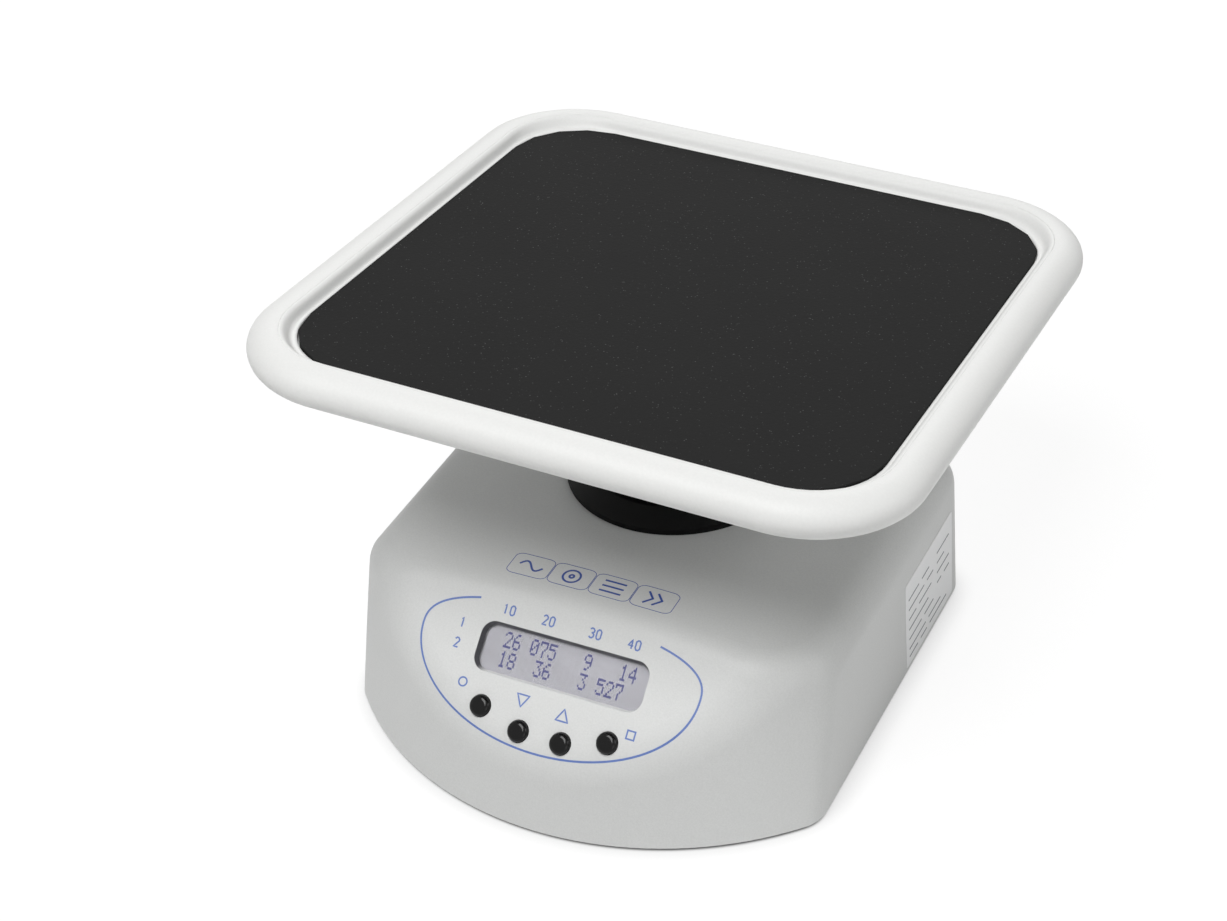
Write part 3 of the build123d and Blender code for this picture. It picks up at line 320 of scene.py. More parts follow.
button_finish = moulded("button_black", (0.002, 0.002, 0.002), 0.08, shine=0.22, depth=0.002 * mm)
black_finish = moulded("black_plastic", (0.012, 0.012, 0.013), 0.34)
key_finish = moulded("key_plastic", (0.03, 0.03, 0.03), 0.5)
motor_finish = moulded("motor_black", (0.02, 0.02, 0.022), 0.45)
sleeve_finish = moulded("capacitor_sleeve", (0.03, 0.03, 0.05), 0.4)
frame_finish = moulded("display_frame", (0.03, 0.03, 0.032), 0.4)
dress(button_finish, "button_a", "button_b", "button_c", "button_d")
dress(black_finish, "power_socket", "switch_frame", "power_rocker")
dress(key_finish, "key_switches")
dress(motor_finish, "motor")
dress(sleeve_finish, "capacitors")
dress(frame_finish, "display_module")
print("plastic finishes:", button_finish.name, black_finish.name)

# %% [markdown]
# The boards are green lacquer over copper. A brick pattern with thin joints is enough to show tracks.

# %% Board finish
board_green = (0.015, 0.12, 0.05)
track_green = (0.05, 0.22, 0.09)
track_pitch = 6 * mm
track_share = 0.012
board_finish, shader, place = start_finish("board_green", board_green, 0.35, Coat_Weight=0.4)
tracks = place.node("ShaderNodeTexBrick", {"offset": 0.5}, {
    "Vector": place, "Scale": 1 / track_pitch, "Mortar Size": track_share,
    "Color1": (0, 0, 0, 1), "Color2": (0, 0, 0, 1), "Mortar": (1, 1, 1, 1),
})
feed(shader, "Base Color", mixed(tracks, board_green, track_green))
dress(board_finish, "main_board", "key_board")
print("board finish:", board_finish.name)

# %% [markdown]
# ## The sloping panel
# Everything printed or lit on the front lies on one sloping plane. A function turns a place on the
# panel, in millimetres across and up, into a point in the model, so the marks can be drawn flat.

# %% Panel directions
panel_slope = radians(41.5)
panel_point = Vector((0, -94, 53.5)) * mm
panel_across = Vector((1, 0, 0))
panel_up = Vector((0, cos(panel_slope), sin(panel_slope)))
panel_out = Vector((0, -sin(panel_slope), cos(panel_slope)))
controls_x = 1.4
window_up = -4.6
glass_depth = 3.5


def on_panel(across, up, out=0.0):
    """A point from panel millimetres: across, up the slope, and out of it."""
    return panel_point + (panel_across * across + panel_up * up + panel_out * out) * mm


print("panel normal:", [round(part, 3) for part in panel_out])

# %% [markdown]
# The display lies in a recess of the housing. On the real object the recess's upper and left walls
# are in deep shade, and soft lamps alone leave them too pale. So the housing's colour goes dark there.
# The mask is made from distances along the panel's own directions, so it stays with the piece.


# %% Dark step round the display
def panel_measure(direction, origin):
    """How far a place on the housing lies along a direction of the panel, in millimetres."""
    along = shell_place.node("ShaderNodeVectorMath", {"operation": "DOT_PRODUCT"},
                             {0: shell_place, 1: tuple(direction)}, output=1)
    return (along - origin.dot(direction)) * (1 / mm)


recess_height = (9.2, 9.4)
recess_width = (32.2, 32.4)
upper_wall = (2.0, 6.0)
left_wall = (-29.5, -26.0)
shade_depths = (0.04, 0.30)
shade_black = (0.045, 0.045, 0.05)
window_middle = on_panel(controls_x, window_up)
step_depth = 0 - panel_measure(panel_out, window_middle)
step_up = panel_measure(panel_up, window_middle)
step_across = panel_measure(panel_across, window_middle)
in_height = 1 - between(step_up.math("ABSOLUTE"), *recess_height)
in_width = 1 - between(step_across.math("ABSOLUTE"), *recess_width)
shaded_side = between(step_up, *upper_wall).math("MAXIMUM", 1 - between(step_across, *left_wall))
step_shade = between(step_depth, *shade_depths) * in_height * in_width * shaded_side
feed(shell_shader, "Base Color", mixed(step_shade, shell_colour, shade_black))
print("display recess shaded within", recess_width[0], "by", recess_height[0], "mm of its middle")

# %% [markdown]
# The display is a lilac-grey glass under a clear pane. Its dark figures are built as geometry further
# down, so the glass only has a faint cloud in its colour and its gloss. The pane is nearly clear.

# %% Display glass and pane finishes
glass_lilac = (0.80, 0.79, 0.86)
glass_finish, shader, place = start_finish("display_face", glass_lilac, 0.40, Specular_IOR_Level=0.2)
feed(shader, "Base Color", mixed(grain(place, 8 * mm), *shades(glass_lilac, 0.94, 1.0)))
feed(shader, "Roughness", 0.26 + 0.08 * grain(place, 0.6 * mm))
dress(glass_finish, "display_glass")

pane_finish, shader, place = start_finish("clear_pane", (0.95, 0.96, 0.98), 0.05, Alpha=0.06)
feed(shader, "Roughness", 0.03 + 0.05 * grain(place, 15 * mm))
dress(pane_finish, "display_window")
print("display finishes:", glass_finish.name, pane_finish.name)

# %% [markdown]
# ## Building a piece from points and faces
# The pieces below are all made in code as plain lists of points and faces. One helper turns such
# lists into an object, joins points that coincide, and makes the faces look outward.


# %% Helper that makes a piece
def make_piece(name, points, faces, finish, body, smooth=True):
    """A mesh object in the model's frame, with a finish, riding on a body."""
    mesh = bpy.data.meshes.new(name)
    mesh.from_pydata([tuple(point) for point in points], [], faces)
    work = bmesh.new()
    work.from_mesh(mesh)
    bmesh.ops.remove_doubles(work, verts=work.verts, dist=1e-7)
    bmesh.ops.recalc_face_normals(work, faces=work.faces)
    work.to_mesh(mesh)
    work.free()
    mesh.polygons.foreach_set("use_smooth", [smooth] * len(mesh.polygons))
    mesh.materials.append(finish)
    piece = bpy.data.objects.new(name, mesh)
    bpy.context.scene.collection.objects.link(piece)
    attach(piece, body)
    print(name, "points:", len(mesh.vertices), "faces:", len(mesh.polygons))
    return piece


# %% [markdown]
# ## The leaning axis
# The tray turns on a stub that leans seven degrees from the spindle and crosses it at one pivot.
# The mat and the top of the boot are square to that axis, so both are placed from it. The tray
# stands not quite straight over the housing: it is turned by a little under one degree.

# %% Leaning axis
lean = radians(7.0)
lean_direction = radians(72.5)
pivot = Vector((0, 0, 84.7)) * mm
lean_turn = Matrix.Rotation(lean, 3, Vector((-sin(lean_direction), cos(lean_direction), 0)))
tray_turn = radians(0.8)
deck_x = lean_turn @ Vector((cos(tray_turn), sin(tray_turn), 0))
deck_y = lean_turn @ Vector((-sin(tray_turn), cos(tray_turn), 0))
deck_z = lean_turn @ Vector((0, 0, 1))


def on_deck(x, y, height):
    """A point from millimetres across the tray and above the pivot, along the leaning axis."""
    return pivot + (deck_x * x + deck_y * y + deck_z * height) * mm


print("leaning axis:", [round(part, 4) for part in deck_z])

# %% [markdown]
# ## The foam mat
# The mat is a cut sheet of foam. Its four corners are cut round with a few straight strokes each. Its
# edge is square but soft: a knife leaves a corner of a few tenths of a millimetre that catches a thin
# line of light. A bevelled outline, stacked ring on ring, gives that corner, and the middle of each
# face is one flat polygon.


# %% Rounded square outline
def rounded_square(half, corner, steps):
    """Points round a square with round corners, in millimetres."""
    points = []
    for quarter in range(4):
        turn = quarter * pi / 2
        middle = half - corner
        for step in range(steps + 1):
            angle = turn + step / steps * pi / 2
            along = (cos(turn) - sin(turn)) * middle
            across = (sin(turn) + cos(turn)) * middle
            points.append((along + corner * cos(angle), across + corner * sin(angle)))
    return points


def stacked(outlines):
    """Points and faces of a closed form made of equal outlines, one on the next."""
    count = len(outlines[0])
    points = [point for outline in outlines for point in outline]
    faces = [tuple(reversed(range(count)))]
    for level in range(len(outlines) - 1):
        low, high = level * count, (level + 1) * count
        for index in range(count):
            after = (index + 1) % count
            faces.append((low + index, low + after, high + after, high + index))
    top = (len(outlines) - 1) * count
    faces.append(tuple(range(top, top + count)))
    return points, faces


# %% Mat
mat_low = 50.5
mat_thickness = 2.5
mat_half = 102.0
mat_corner = 28.5
mat_cuts = 4
mat_soft_edge = 0.45
mat_low_bevel = 0.4
mat_edge_steps = 4
mat_levels = [(mat_soft_edge, 0.0), (0.0, mat_low_bevel), (0.0, mat_thickness - mat_soft_edge)]
for step in range(1, mat_edge_steps + 1):
    angle = step / mat_edge_steps * pi / 2
    inset = mat_soft_edge * (1 - cos(angle))
    mat_levels.append((inset, mat_thickness - mat_soft_edge * (1 - sin(angle))))

mat_outlines = []
for inset, height in mat_levels:
    outline = rounded_square(mat_half - inset, mat_corner - inset, mat_cuts)
    mat_outlines.append([on_deck(x, y, mat_low + height) for x, y in outline])
mat = make_piece("mat_foam_sheet", *stacked(mat_outlines), mat_finish, "platform", smooth=False)
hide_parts("mat")

# %% [markdown]
# ## The rolled inner edge of the tray
# The tray's rim rolls down to its floor in one soft fold, and a narrow strip of the floor shows round
# the mat. The CAD tray has a plain step there, so a thin cove covers the step all round. The cove is
# a closed profile of half widths and heights, carried round the tray as one ring for each of its
# points. The boot further down is closed in the same way, so both share one helper.


# %% Helper for closed rings
def looped_faces(rings, count):
    """Faces between equal rings of points, with the last ring joined to the first."""
    faces = []
    for ring in range(rings):
        low, high = ring * count, (ring + 1) % rings * count
        for index in range(count):
            after = (index + 1) % count
            faces.append((low + index, low + after, high + after, high + index))
    return faces


# %% Cove sizes
cove_half = 105.0
cove_corner = 27.4
cove_corner_steps = 12
cove_profile = [
    (106.8, 56.61), (106.3, 56.56), (105.8, 56.40), (105.3, 56.12), (104.9, 55.72), (104.6, 55.22),
    (104.3, 54.60), (104.05, 54.00), (103.8, 53.48), (103.5, 53.05), (103.15, 52.76), (102.75, 52.62),
    (102.1, 52.56), (102.1, 50.60), (103.4, 50.60), (104.5, 51.05), (104.9, 52.10), (104.9, 54.90),
    (105.5, 55.90), (106.3, 56.40),
]
print("cove profile points:", len(cove_profile))


# %% Cove
def cove_corner_at(half):
    """The corner radius of a ring: it grows with the ring outside, and stays nearly even inside."""
    inward = cove_half - half
    if inward < 0:
        return cove_corner - inward
    return cove_corner + inward / 3


cove_points = []
for half, height in cove_profile:
    outline = rounded_square(half, cove_corner_at(half), cove_corner_steps)
    cove_points += [on_deck(x, y, height) for x, y in outline]
cove_faces = looped_faces(len(cove_profile), len(cove_points) // len(cove_profile))
make_piece("tray_cove", cove_points, cove_faces, tray_finish, "platform")

# %% [markdown]
# ## The rubber boot
# The boot is a moulded bellows. Its lower cuff sits inside the collar and its upper cuff is clamped
# round the hub, seven degrees out of line, so the ribs close up on one side and open on the other.
# Each ring of the boot lies square to a bent centre line, and the radius follows a soft wave. The
# inside is the same wave, one wall further in, so the boot is a closed skin of real thickness.

# %% Boot sizes
boot_low_z = 61.5
boot_ribs_low_z = 73.0
boot_ribs_high = 30.0
boot_top = 39.6
boot_low_radius = 30.0
boot_high_radius = 28.0
boot_cuff_radius = 25.7
boot_rib_depth = 4.5
boot_valley_power = 1.6
boot_low_step = 1.2
boot_neck_step = 0.9
boot_wall = 1.4
boot_ribs = 6
boot_sides = 96
steps_per_rib = 14
print("boot ribs:", boot_ribs, "sides:", boot_sides)


# %% Boot form
def boot_ring(centre, direction, radius):
    """A ring of points square to the boot's centre line."""
    side = (Vector((1, 0, 0)) - direction * direction.x).normalized()
    other = direction.cross(side)
    return [
        centre + (side * cos(turn) + other * sin(turn)) * radius
        for turn in (2 * pi * index / boot_sides for index in range(boot_sides))
    ]


def rib_wave(share):
    """The depth below the peaks, from 0 to 1, at a share of one rib: round peaks, tighter valleys."""
    return (0.5 + 0.5 * cos(2 * pi * share)) ** boot_valley_power


def boot_profile():
    """Centre, direction and outer radius of each ring, from the bottom up."""
    upright = Vector((0, 0, 1))
    start = upright * boot_ribs_low_z * mm
    finish = on_deck(0, 0, boot_ribs_high)
    rings = [(upright * z * mm, upright, boot_low_radius)
             for z in (boot_low_z, boot_ribs_low_z - boot_low_step)]
    for step in range(boot_ribs * steps_per_rib + 1):
        share = step / (boot_ribs * steps_per_rib)
        centre = start * (1 - share) ** 2 + pivot * (2 * share * (1 - share)) + finish * share**2
        direction = ((pivot - start) * (1 - share) + (finish - pivot) * share).normalized()
        peak = boot_low_radius + (boot_high_radius - boot_low_radius) * share
        dip = boot_rib_depth * rib_wave(share * boot_ribs)
        rings.append((centre, direction, peak - dip))
    for height in (boot_ribs_high + boot_neck_step, boot_top):
        rings.append((on_deck(0, 0, height), deck_z, boot_cuff_radius))
    return rings


# %% Boot
boot_rings = boot_profile()
boot_points = []
for centre, direction, radius in boot_rings:
    boot_points += boot_ring(centre, direction, radius * mm)
for centre, direction, radius in reversed(boot_rings):
    boot_points += boot_ring(centre, direction, (radius - boot_wall) * mm)
boot_faces = looped_faces(2 * len(boot_rings), boot_sides)
boot = make_piece("boot_bellows", boot_points, boot_faces, boot_finish, "rotor")
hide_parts("boot")

# %% [markdown]
# ## Ink on the housing
# The blue marks are printed on the moulding after it is made. Ink is a real layer, so each mark is a
# thin closed film that lies on the surface: a flat drawing is pushed onto the housing along the
# panel's normal, or straight down on the crown, and made a little under a tenth of a millimetre
# thick. The marks are generic: plain numerals and simple shapes.

# %% Ink finish
ink_blue = (0.115, 0.185, 0.46)
ink_finish, shader, place = start_finish("ink_blue", ink_blue, 0.45)
feed(shader, "Base Color", mixed(grain(place, 3 * mm), *shades(ink_blue, 0.9, 1.15)))
print("ink finish:", ink_finish.name)

# %% Laying a mark on the housing
ink_height = 0.05
ink_sink = 0.03
above_panel = 15
above_crown = 90
straight_down = Vector((0, 0, -1))
shell_surface = BVHTree.FromObject(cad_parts["housing"], bpy.context.evaluated_depsgraph_get())


def laid_on_panel(across, up):
    """The point of the housing under a place on the panel, and the way out of it."""
    hit = shell_surface.ray_cast(on_panel(across, up, above_panel), -panel_out)
    return hit[0], panel_out


def laid_on_crown(x, y):
    """The point of the housing's crown under a place seen from above, and the way out of it."""
    hit = shell_surface.ray_cast(Vector((x, y, above_crown)) * mm, straight_down)
    return hit[0], -straight_down


print("ink film:", round(ink_height + ink_sink, 3), "mm thick")

# %% [markdown]
# A mark is a set of strokes. A stroke is a ribbon along a line of places: two edges, each laid on the
# housing, then a top film and a bottom film joined round the rim. Long straight runs are divided, so
# that the ribbon follows the curve of the moulding.

# %% Strokes of ink
sharpest_turn = 0.35


def divided(line, step, closed):
    """The same line with extra points, so that no run is longer than the step."""
    runs = list(zip(line, line[1:] + line[:1])) if closed else list(zip(line, line[1:]))
    points = []
    for (x0, y0), (x1, y1) in runs:
        pieces = max(1, ceil(sqrt((x1 - x0) ** 2 + (y1 - y0) ** 2) / step))
        points += [(x0 + (x1 - x0) * k / pieces, y0 + (y1 - y0) * k / pieces) for k in range(pieces)]
    return points if closed else points + [line[-1]]


def side_step(before, here, after, half):
    """How far a ribbon's edge stands from the line at a point, with its corners kept sharp."""
    ways = []
    for (x0, y0), (x1, y1) in ((before, here), (here, after)):
        length = sqrt((x1 - x0) ** 2 + (y1 - y0) ** 2)
        if length > 0:
            ways.append(((y0 - y1) / length, (x1 - x0) / length))
    across = (sum(way[0] for way in ways) / len(ways), sum(way[1] for way in ways) / len(ways))
    size = max(sharpest_turn, across[0] ** 2 + across[1] ** 2)
    return across[0] / size * half, across[1] / size * half


def add_stroke(points, faces, line, width, lay, closed=False, step=1.2):
    """Adds one ribbon of ink to a piece's points and faces."""
    line = divided(line, step, closed)
    count = len(line)
    first = len(points)
    for index, (x, y) in enumerate(line):
        before = line[index - 1] if closed or index > 0 else line[index]
        after = line[(index + 1) % count] if closed or index < count - 1 else line[index]
        dx, dy = side_step(before, (x, y), after, width / 2)
        for sign in (1, -1):
            spot, out = lay(x + sign * dx, y + sign * dy)
            points.append(spot + out * ink_height * mm)
            points.append(spot - out * ink_sink * mm)
    for index in range(count if closed else count - 1):
        here, there = first + 4 * index, first + 4 * ((index + 1) % count)
        for a, b in ((0, 2), (2, 3), (3, 1), (1, 0)):
            faces.append((here + a, here + b, there + b, there + a))
    if not closed:
        for end in (first, first + 4 * (count - 1)):
            faces.append((end, end + 1, end + 3, end + 2))


# %% [markdown]
# The long oval round the controls is open at its top, over the display. It is an ellipse below its
# widest line and a flatter, squarer curve above it.

# %% Oval line
oval_middle = (0.1, -2.8)
oval_half_width = 52.0
oval_drop = 32.2
oval_rise = 15.6
oval_square = 2.5
oval_gap_left = -33.8
oval_gap_right = 33.6
oval_width = 0.7
oval_steps = 120
oval_end_steps = 24
oval_pace = 0.9


def oval_up(across, upper):
    """The oval's height on the panel at a distance across it."""
    reach = min(1.0, abs(across - oval_middle[0]) / oval_half_width)
    if upper:
        return oval_middle[1] + oval_rise * (1 - reach**oval_square) ** (1 / oval_square)
    return oval_middle[1] - oval_drop * sqrt(1 - reach**2)


def eased(low, high, count):
    """Values from low to high, close together at both ends."""
    return [low + (high - low) * (1 - cos(pi * k / count)) / 2 for k in range(count + 1)]


# %% Oval places
left_edge = oval_middle[0] - oval_half_width
right_edge = oval_middle[0] + oval_half_width
left_end = reversed(eased(left_edge, oval_gap_left, oval_end_steps))
below = eased(left_edge, right_edge, oval_steps)[1:]
right_end = reversed(eased(oval_gap_right, right_edge, oval_end_steps)[:-1])
oval_line = [(x, oval_up(x, True)) for x in left_end]
oval_line += [(x, oval_up(x, False)) for x in below]
oval_line += [(x, oval_up(x, True)) for x in right_end]
panel_points, panel_faces = [], []
add_stroke(panel_points, panel_faces, oval_line, oval_width, laid_on_panel, step=oval_pace)
print("oval line places:", len(oval_line))

# %% [markdown]
# Small marks stand by the buttons and over the display: an open triangle down and one up, plain
# numerals, a ring and a square. Each numeral is drawn with a few strokes on a grid, like a stencil.

# %% Strokes of the numerals
mark_width = 0.55
stroke_grid = 6
digit_strokes = {
    "0": [[(0, 1), (0, 5), (1, 6), (2, 6), (3, 5), (3, 1), (2, 0), (1, 0), (0, 1)]],
    "1": [[(0.5, 5), (1.5, 6), (1.5, 0)]],
    "2": [[(0, 5), (1, 6), (2, 6), (3, 5), (3, 4), (0, 0), (3, 0)]],
    "3": [[(0, 5.3), (1, 6), (2, 6), (3, 5), (3, 4), (2, 3.2), (1.2, 3.2)],
          [(2, 3.2), (3, 2.3), (3, 1), (2, 0), (1, 0), (0, 0.7)]],
    "4": [[(2.3, 0), (2.3, 6), (0, 2), (3.2, 2)]],
}


def add_digit(points, faces, digit, left, low, size, lay):
    """Draws one numeral, with its lower left corner and its height given."""
    unit = size / stroke_grid
    for stroke in digit_strokes[digit]:
        line = [(left + x * unit, low + y * unit) for x, y in stroke]
        add_stroke(points, faces, line, mark_width, lay)


def circle_line(x, y, radius, count=28):
    """Places round a circle."""
    turns = [2 * pi * k / count for k in range(count)]
    return [(x + radius * cos(turn), y + radius * sin(turn)) for turn in turns]


print("numerals drawn in strokes:", ", ".join(digit_strokes))

# %% Places of the small marks
triangles = ((-21.3, -17.2, -8.3), (-18.0, -22.1, 7.4))
triangle_half = 2.25
numeral_height = 3.2
tens_shift = 2.6
tens_up = 7.2
tens_xs = (-24.5, -9.5, 8.0, 22.5)
ones_x = -38.5
ones_ups = (-1.0, -8.0)
ring_radius = 1.5
small_ring = circle_line(-31.2, -18.6, ring_radius)
small_square = [(31.0, -21.5), (33.8, -21.5), (33.8, -18.7), (31.0, -18.7)]
triangle_lines = [[(x - triangle_half, base), (x + triangle_half, base), (x, apex)]
                  for apex, base, x in triangles]
numerals = [(digit, x + shift, tens_up) for tens, x in zip("1234", tens_xs)
            for digit, shift in ((tens, 0), ("0", tens_shift))]
numerals += [(digit, ones_x, up) for digit, up in zip("12", ones_ups)]
print("numerals on the panel:", len(numerals))

# %% Small marks on the panel
for mark in triangle_lines:
    add_stroke(panel_points, panel_faces, mark, mark_width, laid_on_panel, closed=True)
for digit, x, up in numerals:
    add_digit(panel_points, panel_faces, digit, x, up, numeral_height, laid_on_panel)
for mark in (small_ring, small_square):
    add_stroke(panel_points, panel_faces, mark, mark_width, laid_on_panel, closed=True)
make_piece("panel_print", panel_points, panel_faces, ink_finish, "base", smooth=False)

# %% [markdown]
# The crown carries a row of four plain badges, printed in a deeper blue than the panel: thin frames
# with round corners, set close together, each with a simple sign in bold strokes.

# %% Deep blue ink
deep_blue = (0.030, 0.075, 0.33)
deep_finish, shader, place = start_finish("ink_deep_blue", deep_blue, 0.45)
feed(shader, "Base Color", mixed(grain(place, 3 * mm), *shades(deep_blue, 0.9, 1.15)))
print("badge ink:", deep_finish.name)

# %% Badge sizes
badge_line = 0.22
badge_bold = 0.75
badge_height = 10.6
badge_width = 15.2
badge_corner = 2.0
badge_corner_steps = 5
badge_xs = (-22.9, -7.3, 8.3, 23.9)
badge_y = -69.7
wave_half = 4.4
wave_height = 2.0
wave_steps = 32
big_ring = 3.1
middle_ring = 0.8
middle_ring_steps = 14
bar_half = 4.0
bar_pitch = 2.6
chevron_shifts = (-2.4, 1.0)
chevron_back = 0.9
chevron_tip = 1.7
chevron_half = 3.0
print("badges:", len(badge_xs))

# %% Badges on the crown
crown_points, crown_faces = [], []


def badge_place(x, y):
    """The crown under a place of the badge row."""
    return laid_on_crown(x, badge_y + y)


def badge_stroke(line, width=badge_bold, closed=False):
    """Adds one stroke of a badge."""
    add_stroke(crown_points, crown_faces, line, width, badge_place, closed=closed)


wave_x, ring_x, bars_x, chevron_x = badge_xs
unit_frame = rounded_square(1, badge_corner / badge_height * 2, badge_corner_steps)
for x in badge_xs:
    frame_line = [(x + a * badge_width / 2, b * badge_height / 2) for a, b in unit_frame]
    badge_stroke(frame_line, badge_line, closed=True)
badge_stroke([
    (wave_x - wave_half + 2 * wave_half * k / wave_steps, wave_height * sin(2 * pi * k / wave_steps))
    for k in range(wave_steps + 1)
])
badge_stroke(circle_line(ring_x, 0, big_ring), closed=True)
badge_stroke(circle_line(ring_x, 0, middle_ring, middle_ring_steps), closed=True)
for up in (-bar_pitch, 0.0, bar_pitch):
    badge_stroke([(bars_x - bar_half, up), (bars_x + bar_half, up)])
for shift in chevron_shifts:
    back = chevron_x + shift - chevron_back
    tip = chevron_x + shift + chevron_tip
    badge_stroke([(back, -chevron_half), (tip, 0), (back, chevron_half)])
make_piece("crown_print", crown_points, crown_faces, deep_finish, "base", smooth=False)

# %% [markdown]
# ## Figures on the display
# A character display shows each figure on a grid of five by seven dots. The dots are real: thin dark
# tiles on the glass. The numbers are made up, and they only have digits.

# %% Dots of each figure
digit_dots = {
    "0": ("01110", "10001", "10011", "10101", "11001", "10001", "01110"),
    "1": ("00100", "01100", "00100", "00100", "00100", "00100", "01110"),
    "2": ("01110", "10001", "00001", "00010", "00100", "01000", "11111"),
    "3": ("11111", "00010", "00100", "00010", "00001", "10001", "01110"),
    "4": ("00010", "00110", "01010", "10010", "11111", "00010", "00010"),
    "5": ("11111", "10000", "11110", "00001", "00001", "10001", "01110"),
    "6": ("00110", "01000", "10000", "11110", "10001", "10001", "01110"),
    "7": ("11111", "10001", "00001", "00010", "00100", "00100", "00100"),
    "8": ("01110", "10001", "10001", "01110", "10001", "10001", "01110"),
    "9": ("01110", "10001", "10001", "01111", "00001", "00010", "01100"),
}
print("figures known:", len(digit_dots))

# %% Text and pitches of the display
display_lines = ("26 075   9   14", "18  36   3 527")
character_pitch = 3.35
dot_pitch_x = 0.57
dot_pitch_y = 0.80
dot_size_x = 0.56
dot_size_y = 0.79
line_ups = (-3.7, -10.4)
text_shift = 1.2
dot_thickness = 0.04
dot_sink = 0.02
last_row = 6
print("display lines:", len(display_lines), "of", len(display_lines[0]), "places")

# %% Display ink
navy = (0.020, 0.022, 0.18)
figure_finish, shader, place = start_finish("display_ink", navy, 0.4)
feed(shader, "Base Color", mixed(grain(place, 2 * mm), *shades(navy, 0.85, 1.2)))
print("display ink:", figure_finish.name)


# %% Dot figures
def add_dot(points, faces, across, up):
    """One thin dot on the display glass, from its lower left corner."""
    first = len(points)
    for out in (-glass_depth - dot_sink, -glass_depth + dot_thickness):
        for dx, dy in ((0, 0), (dot_size_x, 0), (dot_size_x, dot_size_y), (0, dot_size_y)):
            points.append(on_panel(across + dx, up + dy, out))
    for side in ((0, 3, 2, 1), (4, 5, 6, 7), (0, 1, 5, 4), (1, 2, 6, 5), (2, 3, 7, 6), (3, 0, 4, 7)):
        faces.append(tuple(first + corner for corner in side))


def dark_dots(line):
    """The column, the row and the place in the row of each dark dot of a line of figures."""
    for column, character in enumerate(line):
        for row, bits in enumerate(digit_dots.get(character, ())):
            for dot, bit in enumerate(bits):
                if bit == "1":
                    yield column, row, dot


figure_points, figure_faces = [], []
text_left = controls_x + text_shift - character_pitch * len(display_lines[0]) / 2
for line, low in zip(display_lines, line_ups):
    for column, row, dot in dark_dots(line):
        across = text_left + column * character_pitch + dot * dot_pitch_x
        add_dot(figure_points, figure_faces, across, low + (last_row - row) * dot_pitch_y)
make_piece("display_figures", figure_points, figure_faces, figure_finish, "base", smooth=False)

# %% [markdown]
# ## The rating plate
# The right wall carries a pale plate: a thin sheet with round corners that follows the wall. In place
# of words it has plain grey rules of different lengths, which are strokes like those of the ink.

# %% Plate finish
plate_white = (0.86, 0.86, 0.87)
plate_finish, shader, place = start_finish("plate_foil", plate_white, 0.35)
feed(shader, "Base Color", mixed(grain(place, 20 * mm), *shades(plate_white, 0.98, 1.02)))
print("plate finish:", plate_finish.name)

# %% Rating plate
plate_middle_y = 16.2
plate_middle_z = 21.8
plate_half_length = 23.2
plate_half_height = 18.8
plate_corner_share = 0.06
plate_corner_steps = 4
plate_thickness = 0.12
plate_sink = 0.03
beside_wall = 120
wall_out = Vector((1, 0, 0))


def on_wall(y, z, out):
    """A point on the right wall's surface, and a little out of it."""
    hit = shell_surface.ray_cast(Vector((beside_wall, y, z)) * mm, -wall_out)
    return hit[0] + wall_out * out * mm


plate_outline = []
for y, z in rounded_square(1.0, plate_corner_share, plate_corner_steps):
    up = plate_middle_z + z * plate_half_height
    plate_outline.append((plate_middle_y + y * plate_half_length, up))
plate_levels = [[on_wall(y, z, out) for y, z in plate_outline] for out in (-plate_sink, plate_thickness)]
make_piece("rating_plate", *stacked(plate_levels), plate_finish, "base", smooth=False)

# %% Rules on the plate
rule_grey = (0.20, 0.20, 0.21)
rule_finish, shader, place = start_finish("plate_ink", rule_grey, 0.5)
feed(shader, "Base Color", mixed(grain(place, 3 * mm), *shades(rule_grey, 0.9, 1.2)))
rule_width = 0.6
rule_rows = (
    (32.5, ((-4, 6), (9, 16), (24, 36))),
    (28.0, ((-4, 11), (14, 20), (24, 31))),
    (23.5, ((-4, 3), (6, 18), (24, 36))),
    (19.0, ((-4, 15), (24, 28), (31, 36))),
    (14.5, ((-4, 8), (11, 20))),
    (10.0, ((-4, 12), (15, 27))),
    (6.5, ((-4, 4), (7, 13), (16, 33))),
)


def laid_on_plate(y, z):
    """The plate's face at a place on the wall, and the way out of it."""
    return on_wall(y, z, plate_thickness), wall_out


rule_points, rule_faces = [], []
for up, runs in rule_rows:
    for start, end in runs:
        add_stroke(rule_points, rule_faces, [(start, up), (end, up)], rule_width, laid_on_plate)
make_piece("plate_print", rule_points, rule_faces, rule_finish, "base", smooth=False)

# %% [markdown]
# ## Marks on the power switch
# A rocker carries a bar for on and a ring for off. They are thin films on its two slopes and ride on
# the rocker, so they tip with it.

# %% Switch mark finish
mark_white = (0.75, 0.75, 0.75)
mark_finish, shader, place = start_finish("mark_white", mark_white, 0.5)
feed(shader, "Base Color", mixed(grain(place, 2 * mm), *shades(mark_white, 0.92, 1.0)))
print("switch mark finish:", mark_finish.name)

# %% Switch marks
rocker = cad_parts["power_rocker"]
rocker_surface = BVHTree.FromObject(rocker, bpy.context.evaluated_depsgraph_get())
switch_x = 18.0
switch_z = 20.0
bar_shift = 3.6
bar_reach = 1.6
ring_shift = -3.4
behind_wall = 90


def laid_on_rocker(x, z):
    """The point of the rocker behind a place on the rear wall, and the way out of it."""
    hit = rocker_surface.ray_cast(Vector((x, behind_wall, z)) * mm, Vector((0, -1, 0)))
    return hit[0], Vector((0, 1, 0))


